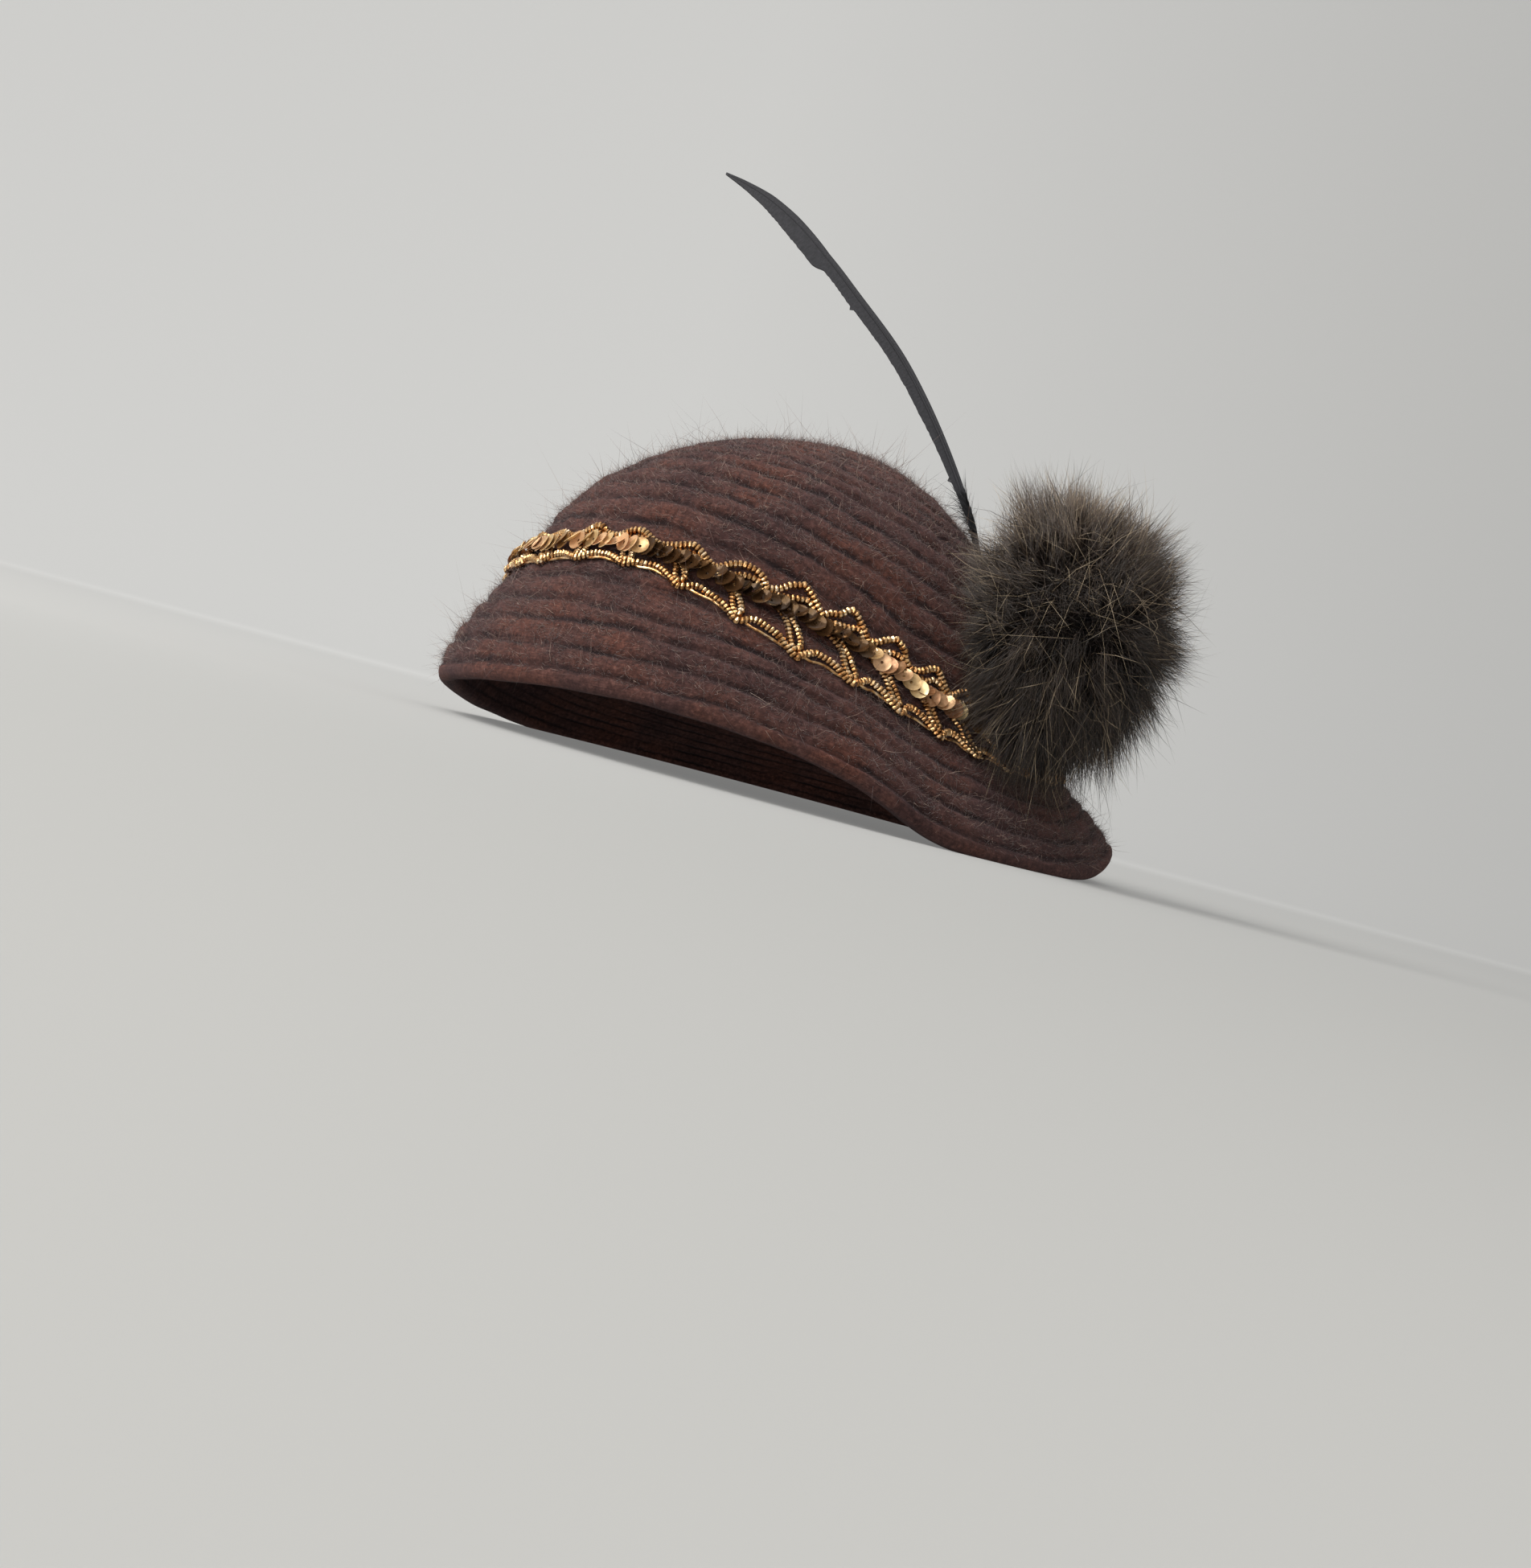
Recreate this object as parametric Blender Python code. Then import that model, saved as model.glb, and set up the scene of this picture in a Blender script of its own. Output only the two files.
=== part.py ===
"""Tilt hat of brushed-wool cord, with a sequin braid, a fur pompom and a trimmed feather.

Metres, +Z up. The front of the hat looks along -Y and the wearer's left is +X. The origin is the centre of the
head opening, on the surface that the brim rests on. A turn is an angle in degrees round +Z from the front (-Y)
towards the wearer's left. A length along the shell is measured up a section of it from the crown's base line.
"""

import math
import random

import bmesh
import bpy
from mathutils import Vector
from mathutils.bvhtree import BVHTree

# Brim and crown, measured on the middle of the shell's outer face
BRIM_LENGTH = 0.249
BRIM_WIDTH = 0.222
BRIM_HIGHEST_LIFT = 0.0192
BASE_LENGTH = 0.192
BASE_WIDTH = 0.170
BASE_FORWARD = 0.007
BASE_HEIGHT = 0.0685
CROWN_HEIGHT = 0.1265
CROWN_TIP_ASIDE = -0.021
CROWN_TIP_BACK = 0.008

# The cord that the shell is worked from, and the rolled edge, which is pressed a little flat where it rests
WALL = 0.0034
RIB_RELIEF = 0.0016
BRIM_RIBS = 6
CROWN_RIBS = 16
EDGE_ROLL_RADIUS = 0.0034
REST_PRESS = 0.0008

# Braid round the base of the crown, seated on the ribs
SEAT_CLEARANCE = 0.0006
BRAID_WIDTH = 0.0205
BRAID_CORD = 0.0027
BRAID_CORD_THICKNESS = 0.0026
BRAID_RAIL = 0.0056
BRAID_RAIL_THICKNESS = 0.0016
BRAID_SCALLOP = 0.0018
BRAID_REPEAT = 0.0167
BRAID_START_TURN = 3.3

# Sequins along the braid's centre
SEQUIN_DIAMETER = 0.0062
SEQUIN_THICKNESS = 0.0006
SEQUIN_TIP_RISE = 0.0012
SEQUIN_PITCH = 0.0056

# Pompom: its place on the crown, and how deep its fur is pressed there
POMPOM_WIDTH = 0.084
POMPOM_DEPTH = 0.078
POMPOM_HEIGHT = 0.098
POMPOM_TURN = 117
POMPOM_ALONG = 0.032
POMPOM_PRESS = 0.016
POMPOM_STANDOFF = 0.0058
POMPOM_LOCK = 0.0098
POMPOM_DROOP = 0.004
POMPOM_TIE_WIDTH = 0.006

# Feather: its place on the crown, and the turn that it leans towards
FEATHER_RISE = 0.1034
FEATHER_SWEEP = 0.117
FEATHER_WIDTH = 0.0068
FEATHER_SHAFT = 0.0016
FEATHER_VANE_THICKNESS = 0.0006
FEATHER_SEAT_TURN = 116
FEATHER_SEAT_RIB = 7
FEATHER_LEAN_TURN = 332

# Depth of the roll's underside below the section's end, as a share of its radius
ROLL_DEPTH = 1.2

# How finely the shapes are drawn
SHELL_SEGMENTS = 46
LINING_ROWS = 9
ROLL_ROWS = 4
SECTION_STEPS = 36
SEARCH_ROWS = 24
PROBE = 0.0015
PROBE_TURN = 2
FEATHER_STEPS = 2
RANDOM_SEED = 4

# One row for each section of the shell. Reaches are shares of the half lengths and half widths, the edge's lift is a
# share of the highest lift, and the base's lift a share of the base's height. Slopes are in degrees from level.
SHELL_SECTIONS = (
    # turn, edge_reach, edge_lift, base_reach, base_lift, edge_slope, base_slope, roundness
    (0, 1.00, 0.66, 1.00, 0.950, 82, 62, 1.75),
    (30, 1.00, 0.96, 1.00, 1.000, 76, 60, 1.90),
    (55, 1.00, 1.00, 1.00, 0.935, 70, 58, 2.00),
    (75, 1.00, 0.70, 1.00, 0.800, 66, 58, 2.00),
    (90, 1.00, 0.13, 1.00, 0.680, 64, 60, 2.00),
    (105, 1.00, -0.02, 1.00, 0.605, 60, 62, 1.90),
    (128, 1.00, 0.07, 1.00, 0.575, 50, 58, 1.70),
    (155, 1.00, 0.52, 1.00, 0.605, 48, 56, 1.60),
    (190, 1.00, 0.03, 1.00, 0.570, 56, 58, 1.70),
    (235, 1.00, -0.02, 1.00, 0.535, 62, 60, 2.00),
    (288, 1.00, -0.02, 1.00, 0.580, 68, 62, 1.90),
    (312, 1.00, 0.16, 1.00, 0.730, 76, 62, 1.70),
    (335, 1.00, 0.44, 1.00, 0.860, 84, 62, 1.60),
)

# Course of the braid round the crown: how far its middle lies above the base line, and its width there, both as
# shares of the braid's width. It is sewn on wider over the sides than over the front.
BRAID_COURSE = (
    # turn, shift, width
    (5, -0.22, 0.78),
    (20, -0.10, 0.76),
    (36, -0.08, 0.78),
    (50, -0.16, 0.90),
    (62, -0.17, 1.00),
    (78, -0.07, 1.00),
    (96, -0.02, 1.00),
    (114, -0.12, 0.94),
    (190, -0.05, 0.88),
    (280, -0.05, 0.84),
)

# Rows across one rib of the shell: place in the rib's width, and share of the relief
RIB_ROWS = (
    # place, relief
    (0.00, 0.0),
    (0.30, 1.0),
    (0.70, 1.0),
)

# Columns in one repeat of the braid: place in the repeat, side that the scallops swing to, and whether a loop starts
BRAID_COLUMNS = (
    # place, swing, loop
    (0.06, -1.0, True),
    (0.33, -1.0, False),
    (0.67, 1.0, False),
)

# Rings in one sequin: place in the pitch, share of the tip's rise, and share of the diameter
SEQUIN_RINGS = (
    # place, rise, width
    (0.00, 0.0, 0.76),
    (0.93, 1.0, 1.00),
)

# Two steps that draw a lock out of the pompom's core: share of its length, and how far its end tapers
LOCK_STEPS = (
    # length, taper
    (0.5, 0.72),
    (0.5, 0.45),
)

# Rise and sweep of the feather's middle line, and its width, as shares of the feather's own sizes
FEATHER_SECTIONS = (
    # rise, sweep, width
    (0.000, 0.000, 0.35),
    (0.085, 0.036, 0.42),
    (0.236, 0.126, 0.55),
    (0.429, 0.259, 0.75),
    (0.550, 0.358, 0.80),
    (0.723, 0.544, 0.85),
    (0.836, 0.676, 1.00),
    (0.908, 0.774, 1.00),
    (0.952, 0.854, 0.80),
    (1.000, 1.000, 0.10),
)


def clear_scene():
    for old in list(bpy.data.objects):
        bpy.data.objects.remove(old, do_unlink=True)


def add_piece(name, bm, colour, roughness, metallic=0.0):
    """Turns a bmesh into an object with a material of its own."""
    mesh = bpy.data.meshes.new(name)
    bm.to_mesh(mesh)
    bm.free()
    mesh.shade_smooth()
    mesh.set_sharp_from_angle(angle=math.radians(40))
    material = bpy.data.materials.new(name)
    material.use_nodes = True
    shader = material.node_tree.nodes["Principled BSDF"]
    shader.inputs["Base Color"].default_value = (*colour, 1.0)
    shader.inputs["Roughness"].default_value = roughness
    shader.inputs["Metallic"].default_value = metallic
    mesh.materials.append(material)
    piece = bpy.data.objects.new(name, mesh)
    bpy.context.scene.collection.objects.link(piece)
    return piece


def hermite(share, start, start_slope, end, end_slope):
    """Place on the smooth curve from start to end that leaves and arrives with the slopes."""
    return (
        start * (2 * share**3 - 3 * share**2 + 1)
        + start_slope * (share**3 - 2 * share**2 + share)
        + end * (3 * share**2 - 2 * share**3)
        + end_slope * (share**3 - share**2)
    )


def periodic(rows, column, turn):
    """Value of a column of the section table at a turn, on a smooth curve through the rows that closes on itself."""
    count = len(rows)
    after = next((i for i, row in enumerate(rows) if row[0] > turn % 360), 0)
    knots = []
    for step in (-2, -1, 0, 1):
        wraps, index = divmod(after + step, count)
        if after == 0 and turn % 360 >= rows[-1][0]:
            wraps += 1
        knots.append((rows[index][0] + 360 * wraps, rows[index][column]))
    (t0, v0), (t1, v1), (t2, v2), (t3, v3) = knots
    span = t2 - t1
    share = (turn % 360 - t1) / span
    slope1 = (v2 - v0) / (t2 - t0) * span
    slope2 = (v3 - v1) / (t3 - t1) * span
    return hermite(share, v1, slope1, v2, slope2)


MERIDIANS = {}


def meridian(turn):
    """Points of the shell's section at a turn, from the edge to the crown's tip, with their lengths from the base."""
    key = round(turn % 360, 4)
    if key in MERIDIANS:
        return MERIDIANS[key]
    reach, lift, base_reach, base_lift, edge_slope, base_slope, roundness = (
        periodic(SHELL_SECTIONS, column, turn) for column in range(1, 8)
    )
    angle = math.radians(turn)
    edge = Vector((
        BRIM_WIDTH / 2 * reach * math.sin(angle),
        -BRIM_LENGTH / 2 * reach * math.cos(angle),
        BRIM_HIGHEST_LIFT * lift + EDGE_ROLL_RADIUS * ROLL_DEPTH,
    ))
    base = Vector((
        BASE_WIDTH / 2 * base_reach * math.sin(angle),
        -BASE_LENGTH / 2 * base_reach * math.cos(angle) - BASE_FORWARD,
        BASE_HEIGHT * base_lift,
    ))
    tip = Vector((CROWN_TIP_ASIDE, CROWN_TIP_BACK, CROWN_HEIGHT))
    inward = Vector((base.x - edge.x, base.y - edge.y, 0)).normalized()
    up = Vector((0, 0, 1))
    handle = (base - edge).length / 3
    edge_slope, base_slope = math.radians(edge_slope), math.radians(base_slope)
    edge_handle = edge + handle * (inward * math.cos(edge_slope) + up * math.sin(edge_slope))
    base_handle = base - handle * (inward * math.cos(base_slope) + up * math.sin(base_slope))
    points = []
    for step in range(SECTION_STEPS):
        s = step / SECTION_STEPS
        points.append(
            edge * (1 - s) ** 3
            + edge_handle * 3 * s * (1 - s) ** 2
            + base_handle * 3 * s**2 * (1 - s)
            + base * s**3
        )
    for step in range(SECTION_STEPS + 1):
        phase = math.pi / 2 * step / SECTION_STEPS
        out = max(math.cos(phase), 0) ** (2 / roundness)
        rise = math.sin(phase) ** (2 / roundness)
        points.append(Vector((
            tip.x + (base.x - tip.x) * out,
            tip.y + (base.y - tip.y) * out,
            base.z + (tip.z - base.z) * rise,
        )))
    lengths = [0.0]
    for a, b in zip(points, points[1:]):
        lengths.append(lengths[-1] + (b - a).length)
    start = lengths[SECTION_STEPS]
    MERIDIANS[key] = points, [length - start for length in lengths]
    return MERIDIANS[key]


def shell_point(turn, along):
    """Point of the shell's smooth outer face at a turn and a length along the section."""
    points, lengths = meridian(turn)
    along = min(max(along, lengths[0]), lengths[-1])
    i = next((i for i in range(1, len(lengths)) if lengths[i] >= along), len(lengths) - 1)
    share = (along - lengths[i - 1]) / max(lengths[i] - lengths[i - 1], 1e-9)
    return points[i - 1].lerp(points[i], share)


def shell_directions(turn, along):
    """Outward normal of the smooth face, and the direction up the section."""
    lengths = meridian(turn)[1]
    low, high = max(along - PROBE, lengths[0]), min(along + PROBE, lengths[-1])
    up = shell_point(turn, high) - shell_point(turn, low)
    middle = min((low + high) / 2, lengths[-1] - 4 * PROBE)
    around = shell_point(turn + PROBE_TURN, middle) - shell_point(turn - PROBE_TURN, middle)
    return around.cross(up).normalized(), up.normalized()


def on_shell(turn, along, height):
    return shell_point(turn, along) + shell_directions(turn, along)[0] * height


def seated(turn, along, height):
    """Point above the ribs' crests, for what is sewn on the shell."""
    point = on_shell(turn, along, RIB_RELIEF + height)
    point.z -= REST_PRESS
    return point


def braid_middle(turn):
    """Length along the shell, from the crown's base line, at which the middle of the braid lies."""
    return BRAID_WIDTH * periodic(BRAID_COURSE, 1, turn)


def base_girth():
    points = [seated(turn, 0, 0) for turn in turns(SHELL_SEGMENTS)]
    return sum((a - b).length for a, b in zip(points, points[1:] + points[:1]))


def turns(count):
    return [360 * i / count for i in range(count)]


def ring(bm, points):
    return [bm.verts.new(point) for point in points]


def skin(bm, lower, upper):
    """Faces between two closed rings, facing out when the rings run anticlockwise and upper is above lower."""
    count = len(lower)
    for i in range(count):
        after = (i + 1) % count
        bm.faces.new((lower[i], lower[after], upper[after], upper[i]))


def roll_point(turn, sweep):
    """Point of the rolled edge, swept from the inner wall, under the edge, to the outer face."""
    start = meridian(turn)[1][0]
    normal, up = shell_directions(turn, start)
    centre = shell_point(turn, start) - normal * EDGE_ROLL_RADIUS / 2
    return centre - EDGE_ROLL_RADIUS * (up * math.sin(sweep) + normal * math.cos(sweep))


def make_hat_body():
    """The shell: ribbed outside, a rolled edge, and a plain inner wall that leaves the head opening free."""
    around = turns(SHELL_SEGMENTS)
    rows = []
    for row in range(1, LINING_ROWS):
        share = row / LINING_ROWS
        rows.append([])
        for turn in around:
            lengths = meridian(turn)[1]
            rows[-1].append(on_shell(turn, lengths[-1] * (1 - share) + lengths[0] * share, -WALL))
    for row in range(ROLL_ROWS + 1):
        rows.append([roll_point(turn, math.pi * row / ROLL_ROWS) for turn in around])
    for rib in range(BRIM_RIBS):
        for place, relief in RIB_ROWS if rib > 0 else RIB_ROWS[-1:]:
            share = 1 - (rib + place) / BRIM_RIBS
            rows.append([on_shell(turn, meridian(turn)[1][0] * share, relief * RIB_RELIEF) for turn in around])
    for rib in range(CROWN_RIBS):
        for place, relief in RIB_ROWS:
            share = (rib + place) / CROWN_RIBS
            rows.append([on_shell(turn, meridian(turn)[1][-1] * share, relief * RIB_RELIEF) for turn in around])
    for point in (point for row in rows for point in row):
        point.z = max(point.z - REST_PRESS, 0.0)
    bm = bmesh.new()
    rings = [ring(bm, row) for row in rows]
    for lower, upper in zip(rings, rings[1:]):
        skin(bm, lower, upper)
    tip = Vector((CROWN_TIP_ASIDE, CROWN_TIP_BACK, CROWN_HEIGHT - REST_PRESS))
    inner_tip = bm.verts.new(tip - Vector((0, 0, WALL)))
    outer_tip = bm.verts.new(tip + Vector((0, 0, RIB_RELIEF)))
    for i in range(SHELL_SEGMENTS):
        after = (i + 1) % SHELL_SEGMENTS
        bm.faces.new((inner_tip, rings[0][after], rings[0][i]))
        bm.faces.new((rings[-1][i], rings[-1][after], outer_tip))
    return add_piece("hat_body", bm, (0.060, 0.032, 0.030), 0.95)


def make_trim_braid():
    """Pierced braid: two scalloped edge cords, a centre rail, and a loop that joins them in each repeat."""
    repeats = round(base_girth() / BRAID_REPEAT)
    columns = len(BRAID_COLUMNS) * repeats
    bm = bmesh.new()
    corner = {}
    for column in range(columns):
        repeat, part = divmod(column, len(BRAID_COLUMNS))
        place, swing, _ = BRAID_COLUMNS[part]
        turn = BRAID_START_TURN + 360 * (repeat + place) / repeats
        share = periodic(BRAID_COURSE, 2, turn)
        edge = share * (BRAID_WIDTH / 2 + BRAID_SCALLOP * swing)
        rail = share * BRAID_RAIL / 2
        rows = (
            # along, thickness
            (-edge, BRAID_CORD_THICKNESS),
            (BRAID_CORD - edge, BRAID_CORD_THICKNESS),
            (-rail, BRAID_RAIL_THICKNESS),
            (rail, BRAID_RAIL_THICKNESS),
            (edge - BRAID_CORD, BRAID_CORD_THICKNESS),
            (edge, BRAID_CORD_THICKNESS),
        )
        for row, (along, thickness) in enumerate(rows):
            for height in (0, thickness):
                point = seated(turn, braid_middle(turn) + along, SEAT_CLEARANCE + height)
                corner[column, row, height > 0] = bm.verts.new(point)

    def solid(column, row):
        """Cords and the rail run all the way round. Between them only the loops are solid."""
        return row in (0, 2, 4) or row in (1, 3) and BRAID_COLUMNS[column % len(BRAID_COLUMNS)][2]

    for column in range(columns):
        after = (column + 1) % columns
        for row in range(len(rows) - 1):
            if not solid(column, row):
                continue
            quad = ((column, row), (after, row), (after, row + 1), (column, row + 1))
            top = [corner[c, r, True] for c, r in quad]
            bottom = [corner[c, r, False] for c, r in quad]
            bm.faces.new(top)
            bm.faces.new(bottom[::-1])
            beside = ((column, row - 1), (after, row), (column, row + 1), ((column - 1) % columns, row))
            for i, (c, r) in enumerate(beside):
                if not solid(c, r):
                    j = (i + 1) % 4
                    bm.faces.new((bottom[i], bottom[j], top[j], top[i]))
    return add_piece("trim_braid", bm, (0.36, 0.19, 0.08), 0.45, 0.9)


def make_sequin_row():
    """Sequins in one fused row, each lapping the next, seated on the braid's rail."""
    count = round(base_girth() / SEQUIN_PITCH)
    seat = SEAT_CLEARANCE + BRAID_RAIL_THICKNESS + SEAT_CLEARANCE
    bm = bmesh.new()
    rings = []
    for index in range(count):
        for place, rise, width in SEQUIN_RINGS:
            half = SEQUIN_DIAMETER / 2 * width
            low = seat + SEQUIN_TIP_RISE * rise / 2
            high = seat + SEQUIN_TIP_RISE * rise + SEQUIN_THICKNESS
            corners = ((-half, low), (-half, high), (half, high), (half, low))
            turn = 360 * (index + place) / count
            rings.append(ring(bm, [seated(turn, braid_middle(turn) + along, height) for along, height in corners]))
    for before, after in zip(rings, rings[1:] + rings[:1]):
        skin(bm, after, before)
    return add_piece("sequin_row", bm, (0.42, 0.22, 0.12), 0.3, 0.7)


def shell_tree():
    """Search tree over the face that the ribs' crests touch, for pieces that lie against it."""
    points = []
    for row in range(SEARCH_ROWS):
        share = row / (SEARCH_ROWS - 0.5)
        for turn in turns(SHELL_SEGMENTS):
            lengths = meridian(turn)[1]
            points.append(seated(turn, lengths[0] * (1 - share) + lengths[-1] * share, 0))
    faces = []
    for start in range(0, (SEARCH_ROWS - 1) * SHELL_SEGMENTS, SHELL_SEGMENTS):
        for i in range(SHELL_SEGMENTS):
            lower = (start + i, start + (i + 1) % SHELL_SEGMENTS)
            faces.append((*lower, lower[1] + SHELL_SEGMENTS, lower[0] + SHELL_SEGMENTS))
    return BVHTree.FromPolygons(points, faces)


def make_pompom():
    """Fur ball: a core pressed against the crown, a tapered lock on each face that is free, and its sewn tie."""
    outward = shell_directions(POMPOM_TURN, POMPOM_ALONG)[0]
    level_out = Vector((outward.x, outward.y, 0)).normalized()
    aside = Vector((0, 0, 1)).cross(level_out)
    centre = seated(POMPOM_TURN, POMPOM_ALONG, POMPOM_DEPTH / 2 - POMPOM_PRESS)
    tree = shell_tree()

    def over_shell(point, height):
        """The nearest place on the shell, raised by a height, and how high the point itself stands there."""
        near, normal, _, _ = tree.find_nearest(point)
        return near + normal * height, (point - near).dot(normal)

    bm = bmesh.new()
    bmesh.ops.create_icosphere(bm, subdivisions=2, radius=1)
    for vert in bm.verts:
        point = (
            centre
            + aside * vert.co.x * (POMPOM_WIDTH / 2 - POMPOM_LOCK)
            + level_out * vert.co.y * (POMPOM_DEPTH / 2 - POMPOM_LOCK)
            + Vector((0, 0, vert.co.z * (POMPOM_HEIGHT / 2 - POMPOM_LOCK)))
        )
        pressed, height = over_shell(point, POMPOM_STANDOFF)
        vert.co = pressed if height < POMPOM_STANDOFF else point
    free = []
    held = []
    for face in bm.faces:
        height = over_shell(face.calc_center_median(), 0)[1]
        (free if height > POMPOM_STANDOFF + 2 * POMPOM_DROOP else held).append(face)
    draw = random.Random(RANDOM_SEED)
    lengths = [POMPOM_LOCK * draw.uniform(0.75, 1.25) for _ in free]
    for length_share, taper in LOCK_STEPS:
        free = bmesh.ops.extrude_discrete_faces(bm, faces=free)["faces"]
        for face, length in zip(free, lengths):
            middle = face.calc_center_median()
            step = (middle - centre).normalized() * length - Vector((0, 0, POMPOM_DROOP))
            for vert in face.verts:
                vert.co = middle + (vert.co - middle) * taper + step * length_share
    seat = seated(POMPOM_TURN, POMPOM_ALONG, 0)
    foot = min(held, key=lambda face: (face.calc_center_median() - seat).length)
    tie = bmesh.ops.extrude_discrete_faces(bm, faces=[foot])["faces"][0]
    middle = tie.calc_center_median()
    size = max((vert.co - middle).length for vert in tie.verts)
    for vert in tie.verts:
        corner = middle + (vert.co - middle) * POMPOM_TIE_WIDTH / 2 / size
        vert.co = over_shell(corner, SEAT_CLEARANCE)[0]
    bmesh.ops.recalc_face_normals(bm, faces=list(bm.faces))
    return add_piece("pompom", bm, (0.035, 0.027, 0.024), 0.9)


def feather_line():
    """Points of the feather's middle line, with the width there, on a smooth curve through its table."""
    seat_along = meridian(FEATHER_SEAT_TURN)[1][-1] * (FEATHER_SEAT_RIB + 0.5) / CROWN_RIBS
    start = seated(FEATHER_SEAT_TURN, seat_along, SEAT_CLEARANCE + FEATHER_SHAFT / 2)
    forward = feather_lean()
    knots = []
    for rise, sweep, _ in FEATHER_SECTIONS:
        knots.append(start + Vector((0, 0, FEATHER_RISE * rise)) + forward * FEATHER_SWEEP * sweep)
    last = len(knots) - 1
    for i in range(last * FEATHER_STEPS + 1):
        low = min(i // FEATHER_STEPS, last - 1)
        share = i / FEATHER_STEPS - low
        slope1 = (knots[low + 1] - knots[max(low - 1, 0)]) / 2
        slope2 = (knots[min(low + 2, last)] - knots[low]) / 2
        point = hermite(share, knots[low], slope1, knots[low + 1], slope2)
        width = FEATHER_SECTIONS[low][2] * (1 - share) + FEATHER_SECTIONS[low + 1][2] * share
        yield point, (knots[low + 1] - knots[low]).normalized(), FEATHER_WIDTH * width


def feather_lean():
    lean = math.radians(FEATHER_LEAN_TURN)
    return Vector((math.sin(lean), -math.cos(lean), 0))


def make_feather():
    """Trimmed quill: a raised shaft with a thin vane each side, on a curve that leans forward as it rises."""
    facing = Vector((0, 0, 1)).cross(feather_lean())
    ridge = facing * FEATHER_SHAFT / 2
    vane = facing * FEATHER_VANE_THICKNESS / 2
    bm = bmesh.new()
    rings = []
    for point, run, width in feather_line():
        across = facing.cross(run).normalized() * width / 2
        section = (-across - vane, -ridge, across - vane, across + vane, ridge, -across + vane)
        rings.append(ring(bm, [point + offset for offset in section]))
    for before, after in zip(rings, rings[1:]):
        skin(bm, before, after)
    bm.faces.new(rings[0][::-1])
    bm.faces.new(rings[-1])
    bmesh.ops.recalc_face_normals(bm, faces=list(bm.faces))
    return add_piece("feather", bm, (0.012, 0.012, 0.014), 0.6)


clear_scene()
make_hat_body()
make_trim_braid()
make_sequin_row()
make_pompom()
make_feather()
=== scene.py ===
"""Looks of a tilt hat: brushed mohair shell, gimp braid with sequins, fur pompom and trimmed feather.

Metres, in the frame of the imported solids: the front looks along -Y and the wearer's left is +X. A turn is
an angle in degrees round +Z from the front towards the wearer's left. A length along the shell is measured
up a section of it from the crown's base line, so it is negative on the brim.
"""

import functools
import math

import bmesh
import bpy
import numpy as np
from mathutils import Matrix, Vector, noise
from mathutils.bvhtree import BVHTree


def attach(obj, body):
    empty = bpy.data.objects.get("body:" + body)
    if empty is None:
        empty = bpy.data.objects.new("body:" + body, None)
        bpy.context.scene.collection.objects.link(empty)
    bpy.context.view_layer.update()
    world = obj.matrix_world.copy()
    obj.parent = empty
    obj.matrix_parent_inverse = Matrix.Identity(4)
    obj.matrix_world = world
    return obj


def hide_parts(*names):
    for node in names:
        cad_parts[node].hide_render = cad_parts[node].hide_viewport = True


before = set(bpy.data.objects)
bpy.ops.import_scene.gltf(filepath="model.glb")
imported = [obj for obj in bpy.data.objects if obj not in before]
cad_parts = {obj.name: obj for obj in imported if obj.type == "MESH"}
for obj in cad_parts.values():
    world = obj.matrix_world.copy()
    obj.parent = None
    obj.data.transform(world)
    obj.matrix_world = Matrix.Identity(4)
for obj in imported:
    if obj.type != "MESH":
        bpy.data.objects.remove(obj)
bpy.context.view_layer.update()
draw = np.random.default_rng(7)


# Camera: a phone held just above the surface, looking at the hat's left. It is rolled, because the hat was
# tipped back when it was photographed and now rests on its own brim.
CAMERA_PLACE = (0.66169, -0.35494, 0.01673)
CAMERA_AZIMUTH = math.radians(62)
CAMERA_ELEVATION = math.radians(1.0)
CAMERA_ROLL = math.radians(15)
IMAGE_HEIGHT_PX = 1950
FOCAL_LENGTH_PX = 2610
SENSOR_HEIGHT_MM = 36

level = Vector((math.cos(CAMERA_AZIMUTH), math.sin(CAMERA_AZIMUTH), 0))
back = Vector((
    math.sin(CAMERA_AZIMUTH) * math.cos(CAMERA_ELEVATION),
    -math.cos(CAMERA_AZIMUTH) * math.cos(CAMERA_ELEVATION),
    math.sin(CAMERA_ELEVATION),
))
upright = back.cross(level)
right = level * math.cos(CAMERA_ROLL) + upright * math.sin(CAMERA_ROLL)
top = upright * math.cos(CAMERA_ROLL) - level * math.sin(CAMERA_ROLL)
camera_data = bpy.data.cameras.new("camera")
camera_data.sensor_fit = "VERTICAL"
camera_data.sensor_height = SENSOR_HEIGHT_MM
camera_data.lens = FOCAL_LENGTH_PX / IMAGE_HEIGHT_PX * SENSOR_HEIGHT_MM
camera_data.clip_start = 0.002
camera = bpy.data.objects.new("camera", camera_data)
camera.matrix_world = Matrix.Translation(CAMERA_PLACE) @ Matrix((right, top, back)).transposed().to_4x4()
bpy.context.scene.collection.objects.link(camera)
bpy.context.scene.camera = camera


# Studio: a pale floor that curves up into a round wall, so that no horizon shows, with soft light from the
# upper left of the picture. Matte paint, with a painted glow and painted shade.
FLOOR_RADIUS = 1.5
SWEEP_RADIUS = 0.9
WALL_TOP = 3.0
SWEEP_STEPS = 12
ROOM_STEPS = 96
# Paint colour with painted shade towards the right, and the painted glow that the paint gives off.
STUDIO_PAINT_AND_SHADE = ((0.0, "#969592"), (1.0, "#868582"))
STUDIO_GLOW = ((0.0, "#000000"), (0.37, "#737372"), (0.80, "#8e8e8d"), (1.0, "#a5a5a4"))
GLOW_START, GLOW_FULL = 0.85, 1.7
GLOW_BEHIND = -0.75
SHADE_START, SHADE_FULL = -0.25, 0.78
SKY_STRENGTH = 0.56


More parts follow.
